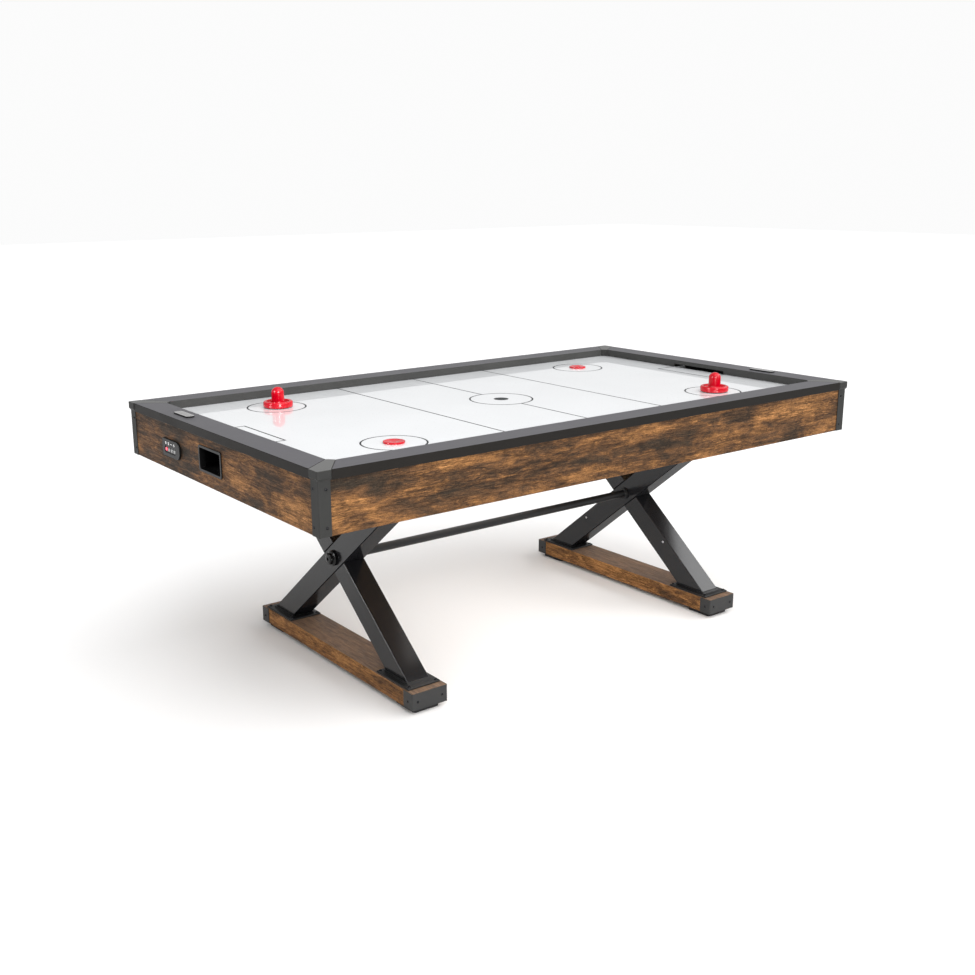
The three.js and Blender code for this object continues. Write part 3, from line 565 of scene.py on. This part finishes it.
def cross_slot(radius):
    """The outline of a cross recess, as a radius for each angle."""
    arm, width = 0.58 * radius, 0.14 * radius

    def reach(angle):
        across, along = max(abs(math.cos(angle)), 1e-6), max(abs(math.sin(angle)), 1e-6)
        return max(min(arm / across, width / along), min(width / across, arm / along))

    return reach


def screw_head(bm, place, direction, radius):
    """A pan head with a cross recess; its face looks in a direction."""
    height = 0.55 * radius
    dome = [(radius * math.cos(a), height * math.sin(a)) for a in (0, 0.35, 0.7, 1.0)]
    recess = [(cross_slot(radius), height), (cross_slot(0.8 * radius), 0.3 * height), (0, 0.2 * height)]
    profile = [(0, -0.2 * height), (radius, -0.2 * height), *dome, *recess]
    lathe(bm, profile, 32, facing(place, direction))


def screws(name, places, body="table", radius=SCREW_HEAD, material=SCREW):
    """One piece of screw heads; each place is a point and the direction that the head looks in."""
    bm = bmesh.new()
    for place, direction in places:
        screw_head(bm, place, direction, radius)
    piece(name, bm, material, body)


def add_guard_screws():
    """Two screws down each leg of a corner guard."""
    legs_in, across, end_across, rise = 5.2 * MM, 28 * MM, 32 * MM, 23 * MM
    for row, side_y in ROWS.items():
        for end, side_x in ENDS.items():
            name = f"corner_guard_{row}_{end}"
            low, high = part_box(name)
            corner = Vector((high.x if side_x > 0 else low.x, high.y if side_y > 0 else low.y))
            heights = (low.z + rise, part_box("side_rail_front")[0].z - rise)
            places = []
            for z in heights:
                on_side = (corner.x - side_x * across, corner.y - side_y * legs_in, z)
                on_end = (corner.x - side_x * legs_in, corner.y - side_y * end_across, z)
                places += [(on_side, (0, side_y, 0)), (on_end, (side_x, 0, 0))]
            screws(name + "_screws", places)


def add_foot_screws():
    """Four screws in each foot cap, and a bolt in each corner of the foot plates."""
    for row, side_y in ROWS.items():
        for end in ENDS:
            low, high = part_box(f"foot_cap_{row}_{end}")
            middle = (low + high) / 2
            face_y = high.y if side_y > 0 else low.y
            spread, back, on_end, on_side = 43 * MM, 24 * MM, 25 * MM, 23 * MM
            places = [((middle.x + i * spread, face_y, low.z + on_end), (0, side_y, 0)) for i in (-1, 1)]
            for i, x in ((-1, low.x), (1, high.x)):
                places.append(((x, face_y - side_y * back, low.z + on_side), (i, 0, 0)))
            screws(f"foot_cap_{row}_{end}_screws", places)

            low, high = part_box(f"foot_plate_{row}_{end}")
            corner = 10 * MM
            places = [
                ((x, y, high.z), (0, 0, 1))
                for x in (low.x + corner, high.x - corner) for y in (low.y + corner, high.y - corner)
            ]
            screws(f"foot_plate_{row}_{end}_bolts", places, radius=BOLT_HEAD)


def add_mount_screws():
    """The bolts that hold the legs' mounting boards under the cabinet."""
    corner = 11 * MM
    for end in ENDS:
        board_low, board_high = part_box(f"leg_mount_board_{end}")
        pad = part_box("foot_plate_front_left")
        half = (pad[1].y - pad[0].y) / 2
        pad_y = abs(centre("foot_plate_front_left").y)
        places = [
            ((x, side * pad_y + i * (half - corner), board_low.z), (0, 0, -1))
            for x in (board_low.x + corner, board_high.x - corner) for side in (-1, 1) for i in (-1, 1)
        ]
        screws(f"leg_mount_board_{end}_bolts", places, radius=BOLT_HEAD)


def add_joint_bolts():
    """The bolts that draw the leg beams and the feet together."""
    for end, side in ENDS.items():
        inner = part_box(f"leg_lower_beam_{end}")
        face = inner[0].x if side > 0 else inner[1].x
        low_beam = centre(f"leg_lower_beam_{end}")
        places = [((face, y, low_beam.z), (-side, 0, 0)) for y in (low_beam.y, -low_beam.y)]
        screws(f"leg_beam_{end}_bolts", places, radius=BEAM_BOLT, material=BRIGHT_STEEL)


def add_panel_screws():
    """Screws along the air chamber's bottom panel, and in the blower housing's corners."""
    low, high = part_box("plenum_bottom_panel")
    edge, count = 9 * MM, 7
    places = []
    for i in range(count):
        x = low.x + edge + (high.x - low.x - 2 * edge) * i / (count - 1)
        places += [((x, y, low.z), (0, 0, -1)) for y in (low.y + edge, high.y - edge)]
    screws("plenum_bottom_panel_screws", places)
    low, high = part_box("blower_housing")
    corner = 10 * MM
    places = [
        ((x, y, low.z), (0, 0, -1))
        for x in (low.x + corner, high.x - corner) for y in (low.y + corner, high.y - corner)
    ]
    screws("blower_housing_screws", places)


# ---------------------------------------------------------------- playfield

INK_LIFT = 0.1 * MM
LINE_WIDTH = 5.4 * MM
ZONE_LINE_X = 328 * MM
SPOT_RADIUS = 95 * MM
CENTRE_RADIUS = 106 * MM
DOT_RADIUS = 25 * MM
CREASE = (86.5 * MM, 128 * MM)  # how far it reaches from the wall, and half its width
HOLE_PITCH = 25.4 * MM
HOLE_RADIUS = 0.6 * MM


def strip(bm, low, high):
    """A printed stretch between two corners."""
    points = [Vector(p) for p in ((low[0], low[1]), (high[0], low[1]), (high[0], high[1]), (low[0], high[1]))]
    slab(bm, points, PLAY_Z, PLAY_Z + INK_LIFT)


def ring(bm, place, radius):
    """A printed circle."""
    inner, outer = radius - LINE_WIDTH / 2, radius + LINE_WIDTH / 2
    profile = [(inner, 0), (outer, 0), (outer, INK_LIFT), (inner, INK_LIFT)]
    lathe(bm, profile, 96, Matrix.Translation((*place, PLAY_Z)), closed=True)


def print_markings():
    """The zone lines, centre circle and dot, face-off circles and goal creases."""
    half = LINE_WIDTH / 2
    bm = bmesh.new()
    for x in (-ZONE_LINE_X, ZONE_LINE_X):
        strip(bm, (x - half, -WALL_Y), (x + half, WALL_Y))
    for side in (-1, 1):
        stretch = sorted((side * (CENTRE_RADIUS + half), side * WALL_Y))
        strip(bm, (-half, stretch[0]), (half, stretch[1]))
    ring(bm, (0, 0), CENTRE_RADIUS)
    dot = [(0, 0), (DOT_RADIUS, 0), (DOT_RADIUS, INK_LIFT), (0, INK_LIFT)]
    lathe(bm, dot, 64, Matrix.Translation((0, 0, PLAY_Z)))
    for side_x in (-1, 1):
        for side_y in (-1, 1):
            ring(bm, (side_x * PUCK_SPOT.x, side_y * PUCK_SPOT.y), SPOT_RADIUS)
        front = side_x * (WALL_X - CREASE[0])
        strip(bm, (front - half, -CREASE[1] - half), (front + half, CREASE[1] + half))
        for side_y in (-1, 1):
            run = sorted((front + side_x * half, side_x * WALL_X))
            y = side_y * CREASE[1]
            strip(bm, (run[0], y - half), (run[1], y + half))
    piece("playfield_lines", bm, LINE_INK, "table")


def drill_air_holes():
    """Small dark discs where the air comes up."""
    rows, columns = int(2 * WALL_Y / HOLE_PITCH), int(2 * WALL_X / HOLE_PITCH)
    bm = bmesh.new()
    angles = [i * math.pi / 4 for i in range(8)]
    disc = [Vector((HOLE_RADIUS * math.cos(a), HOLE_RADIUS * math.sin(a))) for a in angles]
    for i in range(columns):
        for j in range(rows):
            place = Vector(((i - (columns - 1) / 2) * HOLE_PITCH, (j - (rows - 1) / 2) * HOLE_PITCH))
            slab(bm, [place + point for point in disc], PLAY_Z, PLAY_Z + INK_LIFT / 2)
    piece("air_holes", bm, HOLE_SHADE, "table")


# ---------------------------------------------------------------- strikers and pucks


def make_striker(end):
    """A domed knob in a dished base with a rolled rim, on a felt pad."""
    node = f"striker_{end}"
    low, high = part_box(node)
    radius, height = (high.x - low.x) / 2, high.z - low.z
    felt_height = 1.4 * MM
    rim, rim_round = 20.5 * MM, 6 * MM
    knob, knob_top = 20.5 * MM, 48 * MM
    floor = 13 * MM
    base = Matrix.Translation((*centre(node).xy, low.z))
    dome = [
        (knob * math.cos(a), knob_top + (height - knob_top) * math.sin(a))
        for a in (i / 14 * math.pi / 2 for i in range(14))
    ]
    profile = [
        (0, felt_height), (radius - 3 * MM, felt_height),
        *arc((radius - 3.2 * MM, felt_height + 2.8 * MM), 2.8 * MM, -80, -5, 5),
        (radius, felt_height + 6 * MM),
        *arc((radius - rim_round, rim - rim_round), rim_round, 0, 90, 10),
        *arc((radius - rim_round - 3 * MM, rim - 2.5 * MM), 2.5 * MM, 90, 150, 5),
        *arc((34 * MM, floor + 3 * MM), 3 * MM, 0, -90, 6),
        *arc((knob + 7.5 * MM, floor + 7 * MM), 7 * MM, 270, 185, 9),
        *dome, (0, height),
    ]
    bm = bmesh.new()
    lathe(bm, profile, 96, base)
    body = piece(node + "_body", bm, RED, node, crease=50)
    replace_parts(body, node)
    bm = bmesh.new()
    pad = radius - 1.6 * MM
    lathe(bm, [(0, 0), (pad - 0.3 * MM, 0), (pad, 0.3 * MM), (pad, felt_height), (0, felt_height)], 96, base)
    piece(node + "_felt", bm, FELT, node)


def make_puck(end):
    """A thin disc with a raised rim on both faces."""
    node = f"puck_{end}"
    low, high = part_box(node)
    radius, height = (high.x - low.x) / 2, high.z - low.z
    step, edge = 0.8 * MM, 0.9 * MM
    profile = [
        (0, step), (radius - 7 * MM, step), (radius - 6.2 * MM, 0), (radius - edge, 0),
        *arc((radius - edge, edge), edge, -60, 0, 3),
        *arc((radius - edge, height - edge), edge, 0, 90, 4),
        (radius - 6 * MM, height),
        (radius - 6.8 * MM, height - step), (9 * MM, height - step), (8.4 * MM, height - 1.2 * step),
        (0, height - 1.2 * step),
    ]
    bm = bmesh.new()
    lathe(bm, profile, 96, Matrix.Translation((*centre(node).xy, low.z)))
    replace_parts(piece(node + "_disc", bm, RED, node, crease=28), node)


# ---------------------------------------------------------------- undercarriage

KNOB_RADIUS = 18.5 * MM
LOBE_DEPTH = 0.8 * MM
SOCKET_HALF = 5.2 * MM
LEG_SLOPE = 1.2324  # the beams' run over their rise
PAD_CORNER = 11 * MM
THREAD_PITCH = 1.75 * MM


def make_pivot_bolt(end, side):
    """A wide flange and a lobed knob, with a hexagon socket."""
    node = f"pivot_bolt_{end}"
    low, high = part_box(node)
    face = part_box(f"leg_through_beam_{end}")[1 if side > 0 else 0].x
    height, start = abs((high.x if side > 0 else low.x) - face), 0.3 * MM
    flange, rim, knob, lobes = (high.z - low.z) / 2, height / 3, KNOB_RADIUS, 6

    def lobed(radius):
        return lambda angle: radius - LOBE_DEPTH * (1 - math.cos(lobes * angle))

    def socket(angle):
        return SOCKET_HALF / math.cos((angle + math.pi / 6) % (math.pi / 3) - math.pi / 6)

    profile = [
        (0, start), (flange - 2 * MM, start), (flange - 0.4 * MM, start + 1.4 * MM), (flange, start + 2 * MM),
        (flange, rim - 0.6 * MM), (flange - 0.6 * MM, rim), (flange - 2.4 * MM, rim + 1.8 * MM),
        (knob + 2 * MM, rim + 2.2 * MM), (lobed(knob), rim + 3.4 * MM), (lobed(knob), height - 4 * MM),
        *[(lobed(knob - 4 * MM * (1 - math.cos(a))), height - 4 * MM + 3.4 * MM * math.sin(a))
          for a in (0.4, 0.8, 1.2)],
        (11 * MM, height), (socket, height), (socket, height - 3 * MM), (0, height - 3 * MM),
    ]
    bm = bmesh.new()
    lathe(bm, profile, 96, facing((face, 0, centre(node).z), (side, 0, 0)))
    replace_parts(piece(node + "_head", bm, KNOB_BLACK, "table"), node)


def make_stretcher():
    """The round tube between the legs, with a flange at each end."""
    low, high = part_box("stretcher")
    flange, half, tube = (high.z - low.z) / 2, (high.x - low.x) / 2, 14 * MM
    thick = 6 * MM
    end = [
        (0, half), (flange - 0.6 * MM, half), (flange, half - 0.6 * MM), (flange, half - thick),
        (flange - 0.8 * MM, half - thick - 0.8 * MM),
        *arc((tube + 2.5 * MM, half - thick - 3.3 * MM), 2.5 * MM, 90, 180, 5),
    ]
    profile = [(r, -z) for r, z in end] + end[::-1]
    bm = bmesh.new()
    lathe(bm, profile, 48, facing((0, 0, centre("stretcher").z), (1, 0, 0)))
    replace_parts(piece("stretcher_tube", bm, STEEL, "table"), "stretcher")


def make_leveler(row, end):
    """A square rubber foot with a hub and a screwed stem."""
    node = f"leveler_{row}_{end}"
    low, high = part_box(node)
    size = high - low
    pad, hub, neck, stem = 13 * MM, 22 * MM, 16.7 * MM, 5.5 * MM
    place = Matrix.Translation((*centre(node).xy, low.z))
    turns = 17
    thread = []
    for i in range(turns):
        start = neck + 1 * MM + i * THREAD_PITCH
        thread += [(stem - 0.7 * MM, start), (stem, start + THREAD_PITCH / 2)]
    profile = [
        (0, pad - 2 * MM), (hub, pad - 2 * MM), (hub, neck - 1 * MM), (hub - 1 * MM, neck), *thread,
        (stem - 1 * MM, size.z), (0, size.z),
    ]
    bm = bmesh.new()
    slab(bm, rounded(size.x, size.y, PAD_CORNER), 0, pad, 1.2 * MM, place)
    lathe(bm, profile, 48, place)
    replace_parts(piece(node + "_foot", bm, BLACK_PLASTIC, node), node)


def make_foot_collars():
    """Slanted steel collars round the beams' lower ends, on the foot plates."""
    for end in ENDS:
        for row, beam, side in (("front", "lower", -1), ("back", "through", 1)):
            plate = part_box(f"foot_plate_{row}_{end}")
            middle = (plate[0] + plate[1]) / 2
            low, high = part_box(f"leg_{beam}_beam_{end}")
            half_x = (high.x - low.x) / 2
            half_y = half_x * math.hypot(1, LEG_SLOPE)
            wall, height, gap = 3 * MM, 5 * MM, 0.2 * MM
            rings = []
            for grow, level in ((gap, 0), (gap + wall, 0), (gap + wall, height), (gap, height)):
                lean = -side * LEG_SLOPE * (level + 0.3 * MM)
                width, depth = 2 * (half_x + grow), 2 * (half_y + grow * math.hypot(1, LEG_SLOPE))
                outline = rounded(width, depth, 2.5 * MM, (middle.x, middle.y + lean), steps=3)
                rings.append([Vector((*point, plate[1].z + level)) for point in outline])
            bm = bmesh.new()
            loft(bm, rings, closed=True)
            piece(f"foot_collar_{row}_{end}", bm, STEEL, "table")


# ---------------------------------------------------------------- fittings

KEY_SIZE = 10.4 * MM
KEY_ROOM = 1 * MM  # between a key and the strip, both sides together
STRIP_HEIGHT = 19.6 * MM
PANEL_RECESS = 2.5 * MM
SIGN_RISE = 19.5 * MM
SIGN_THICK = 0.12 * MM
DISPLAY_CORNER = 10 * MM
DISPLAY_BORDER = 6 * MM
# a black plate behind each goal slot, painted shade that keeps the slot dark
SHADE_PLATE_HALF = 124.4 * MM
SHADE_PLATE_LOW = 762 * MM
SHADE_PLATE_HIGH = 800 * MM


def make_panel_face():
    """The black strip round the keys and a small sign over each of them."""
    keys = [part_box(f"button_{name}") for name in ("power", "mode", "minus", "plus")]
    hole = KEY_SIZE + KEY_ROOM
    middles = [((low + high) / 2).y for low, high in keys]
    level = centre("button_power").z
    pitch = middles[0] - middles[1]
    to_panel = Matrix(((0, 0, -1, 0), (-1, 0, 0, 0), (0, 1, 0, 0), (0, 0, 0, 1)))
    recess, thin = PANEL_FACE + PANEL_RECESS, 0.35 * MM

    bm = bmesh.new()
    for middle in middles:
        outer = rounded(pitch - 0.3 * MM, STRIP_HEIGHT, 2.2 * MM, (-middle, level))
        inner = rounded(hole, hole, 2.0 * MM, (-middle, level))
        rings = [
            [to_panel @ Vector((*point, -recess + lift)) for point in outline]
            for outline, lift in ((inner, 0.02 * MM), (outer, 0.02 * MM), (outer, thin), (inner, thin))
        ]
        loft(bm, rings, closed=True)
    piece("control_panel_strip", bm, SATIN_BLACK, "table")

    sign_z, lift = level + SIGN_RISE, (-PANEL_FACE, -PANEL_FACE + SIGN_THICK)
    bm = bmesh.new()

    def bar(across, up, width, height):
        slab(bm, rounded(width, height, 0.35 * MM, (across, up), 2), *lift, matrix=to_panel)

    for i, middle in enumerate(middles):
        across = -middle - 0.5 * MM
        if i == 0:
            sign = to_panel @ Matrix.Translation((across, sign_z, lift[0]))
            inside, outside = 2.6 * MM, 4.6 * MM
            circle = [(inside, 0), (outside, 0), (outside, SIGN_THICK), (inside, SIGN_THICK)]
            lathe(bm, circle, 40, sign, closed=True)
            bar(across, sign_z, 1.9 * MM, 5 * MM)
        elif i == 1:
            for j in (-1, 0, 1):
                bar(across, sign_z + j * 3.3 * MM, 9 * MM, 2.1 * MM)
        else:
            bar(across, sign_z, 9 * MM, 2.6 * MM)
            if i == 3:
                for j in (-1, 1):
                    bar(across, sign_z + j * 2.95 * MM, 2.6 * MM, 3.2 * MM)
    piece("control_panel_signs", bm, ICON_INK, "table")


def make_display_details(end):
    """A smoked window in the top of the display."""
    low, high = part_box(f"score_display_{end}")
    middle, size = (low + high) / 2, high - low
    width, length = size.x - 2 * DISPLAY_BORDER, size.y - 2 * DISPLAY_BORDER
    bm = bmesh.new()
    window = rounded(width, length, DISPLAY_CORNER - DISPLAY_BORDER, middle.xy)
    slab(bm, window, high.z - 0.1 * MM, high.z + 0.2 * MM, 0.1 * MM)
    piece(f"score_display_{end}_window", bm, LENS, "table")


def make_goal_shade_plate(end, side):
    """A black plate behind the goal slot, over the top of the end apron's inner face: painted shade that
    keeps the slot dark.
    """
    inner = abs(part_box(f"end_apron_{end}")[0 if side > 0 else 1].x)
    back, front = side * (inner - 0.3 * MM), side * (inner - 1.2 * MM)
    corners = [
        (-SHADE_PLATE_HALF, SHADE_PLATE_LOW), (SHADE_PLATE_HALF, SHADE_PLATE_LOW),
        (SHADE_PLATE_HALF, SHADE_PLATE_HIGH), (-SHADE_PLATE_HALF, SHADE_PLATE_HIGH),
    ]
    bm = bmesh.new()
    loft(bm, [[Vector((x, y, z)) for y, z in corners] for x in (back, front)])
    piece(f"goal_shade_plate_{end}", bm, GOAL_BLACK, "table")


def make_inlet_pins():
    """Two round contact pins in the power inlet."""
    low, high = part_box("power_inlet")
    middle = (low + high) / 2
    spread, length, radius = 5 * MM, 11 * MM, 1.3 * MM
    bm = bmesh.new()
    for i in (-1, 1):
        profile = [(0, 0), (radius, 0), (radius, length - radius),
                   *[(radius * math.cos(a), length - radius + radius * math.sin(a)) for a in (0.5, 1.0)],
                   (0, length)]
        lathe(bm, profile, 20, facing((low.x + 2 * MM, middle.y + i * spread, middle.z), (1, 0, 0)))
    piece("power_inlet_pins", bm, BRIGHT_STEEL, "table")


def make_blower_guard():
    """A wire guard over the blower's mouth."""
    low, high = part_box("blower_housing")
    middle = (low + high) / 2
    wire = 1.2 * MM
    level = low.z - 1.6 * MM
    bm = bmesh.new()
    for radius in (12 * MM, 28 * MM, 44 * MM, 60 * MM, 76 * MM):
        section = arc((radius, 0), wire, 0, 360, 8)[:-1]
        lathe(bm, section, 72, Matrix.Translation((middle.x, middle.y, level)), closed=True)
    near, far = 8 * MM, 112 * MM
    for i in range(4):
        turn = Matrix.Rotation((i + 0.5) * math.pi / 2, 4, "Z")
        start = Matrix.Translation((middle.x, middle.y, level + 1.9 * wire)) @ turn
        rod = [(0, near), (wire, near), (wire, far), (0, far)]
        lathe(bm, rod, 10, start @ facing((0, 0, 0), (1, 0, 0)))
    piece("blower_guard", bm, SCREW, "table")


# ---------------------------------------------------------------- studio


def add_lamp(name, place, aim, size, power, glint):
    """An evenly lit rectangle, out of the picture, that shines at a point; a glint shows in gloss only."""
    light = bpy.data.lights.new(name, "AREA")
    light.shape = "RECTANGLE"
    light.size, light.size_y = size
    light.energy = power
    lamp = bpy.data.objects.new(name, light)
    lamp.location = place
    lamp.rotation_mode = "QUATERNION"
    lamp.rotation_quaternion = (Vector(place) - Vector(aim)).to_track_quat("Z", "Y")
    lamp.visible_camera = False
    lamp.visible_diffuse = not glint
    bpy.context.scene.collection.objects.link(lamp)


def make_world():
    """An even white sky that looks brighter than it lights."""
    world = bpy.data.worlds.new("studio")
    world.use_nodes = True
    tree = world.node_tree
    seen = tree.nodes.new("ShaderNodeLightPath").outputs["Is Camera Ray"]
    amount = tree.nodes.new("ShaderNodeMapRange")
    amount.inputs["To Min"].default_value = SKY
    amount.inputs["To Max"].default_value = BACKDROP
    tree.links.new(seen, amount.inputs["Value"])
    tree.links.new(amount.outputs[0], tree.nodes["Background"].inputs["Strength"])
    tree.nodes["Background"].inputs["Color"].default_value = (1, 1, 1, 1)
    bpy.context.scene.world = world


def make_floor():
    """A wide flat floor at the height of the pads."""
    bm = bmesh.new()
    half = FLOOR_SIZE / 2
    corners = ((-half, -half), (half, -half), (half, half), (-half, half))
    bm.faces.new([bm.verts.new((x, y, 0)) for x, y in corners])
    mesh = bpy.data.meshes.new("floor")
    bm.to_mesh(mesh)
    bm.free()
    mesh.materials.append(studio_floor())
    floor = bpy.data.objects.new("floor", mesh)
    bpy.context.scene.collection.objects.link(floor)


def make_studio():
    """The sky, the floor, one broad key light and the lamps."""
    scene = bpy.context.scene
    scene.view_settings.view_transform = "Standard"
    make_world()
    make_floor()

    key = bpy.data.lights.new("key", "SUN")
    key.energy = KEY_STRENGTH
    key.angle = math.radians(KEY_SPREAD)
    key_light = bpy.data.objects.new("key", key)
    key_light.rotation_euler = (math.radians(KEY_TURN[0]), math.radians(KEY_TURN[1]), 0)
    scene.collection.objects.link(key_light)
    for lamp in LAMPS:
        add_lamp(*lamp)


def make_camera():
    """A camera that stands at the table's front left corner and looks a little down."""
    data = bpy.data.cameras.new("camera")
    data.lens = CAMERA_LENS
    data.shift_x, data.shift_y = CAMERA_SHIFT
    camera = bpy.data.objects.new("camera", data)
    azimuth, elevation = math.radians(CAMERA_AZIMUTH), math.radians(CAMERA_ELEVATION)
    level = math.cos(elevation)
    back = Vector((math.sin(azimuth) * level, -math.cos(azimuth) * level, math.sin(elevation)))
    camera.location = CAMERA_PLACE
    camera.rotation_mode = "QUATERNION"
    roll = Quaternion((0, 0, 1), math.radians(CAMERA_ROLL))
    camera.rotation_quaternion = back.to_track_quat("Z", "Y") @ roll
    bpy.context.scene.collection.objects.link(camera)
    bpy.context.scene.camera = camera


# ---------------------------------------------------------------- assembly

for prefix, material, width in (
    ("playfield_board", PLAYFIELD, 0.4 * MM),
    ("plenum_", CHIPBOARD, 0.6 * MM),
    ("blower_housing", BLACK_PLASTIC, 0.6 * MM),
    ("blower_impeller", BLACK_PLASTIC, 0.3 * MM),
    ("blower_motor", MOTOR_STEEL, 0.5 * MM),
    ("side_rail_", RAIL, 0.35 * MM),
    ("end_rail_", RAIL, 0.35 * MM),
    ("corner_guard_", GUARD, 0.35 * MM),
    ("side_apron_", WOOD_SIDE, 0.5 * MM),
    ("end_apron_", WOOD_END, 0.5 * MM),
    ("goal_box_", GOAL_BLACK, 0.6 * MM),
    ("return_bezel_", RETURN_PLASTIC, 0.35 * MM),
    ("score_display_", DISPLAY, 0.35 * MM),
    ("control_panel", PANEL_PLASTIC, 0.4 * MM),
    ("control_circuit_board", CIRCUIT, 0.2 * MM),
    ("button_power", KEY_RED, 0.4 * MM),
    ("button_m", KEY_GREY, 0.4 * MM),
    ("button_plus", KEY_GREY, 0.4 * MM),
    ("power_inlet", BLACK_PLASTIC, 0.4 * MM),
    ("leg_through_beam_", LEG, 0.8 * MM),
    ("leg_lower_beam_", LEG, 0.8 * MM),
    ("leg_upper_beam_", LEG, 0.8 * MM),
    ("leg_mount_board_", MOUNT_PAINT, 0.8 * MM),
    ("foot_beam_", WOOD_FOOT, 0.8 * MM),
    ("foot_plate_", STEEL, 0.5 * MM),
    ("foot_cap_", CAP_STEEL, 0.4 * MM),
):
    dress(prefix, material, width)

print_markings()
drill_air_holes()
for end, side in ENDS.items():
    make_striker(end)
    make_puck(end)
    make_pivot_bolt(end, side)
    make_display_details(end)
    make_goal_shade_plate(end, side)
    for row in ROWS:
        make_leveler(row, end)
make_stretcher()
make_foot_collars()
make_panel_face()
make_inlet_pins()
make_blower_guard()
add_guard_screws()
add_foot_screws()
add_mount_screws()
add_joint_bolts()
add_panel_screws()
make_studio()
make_camera()
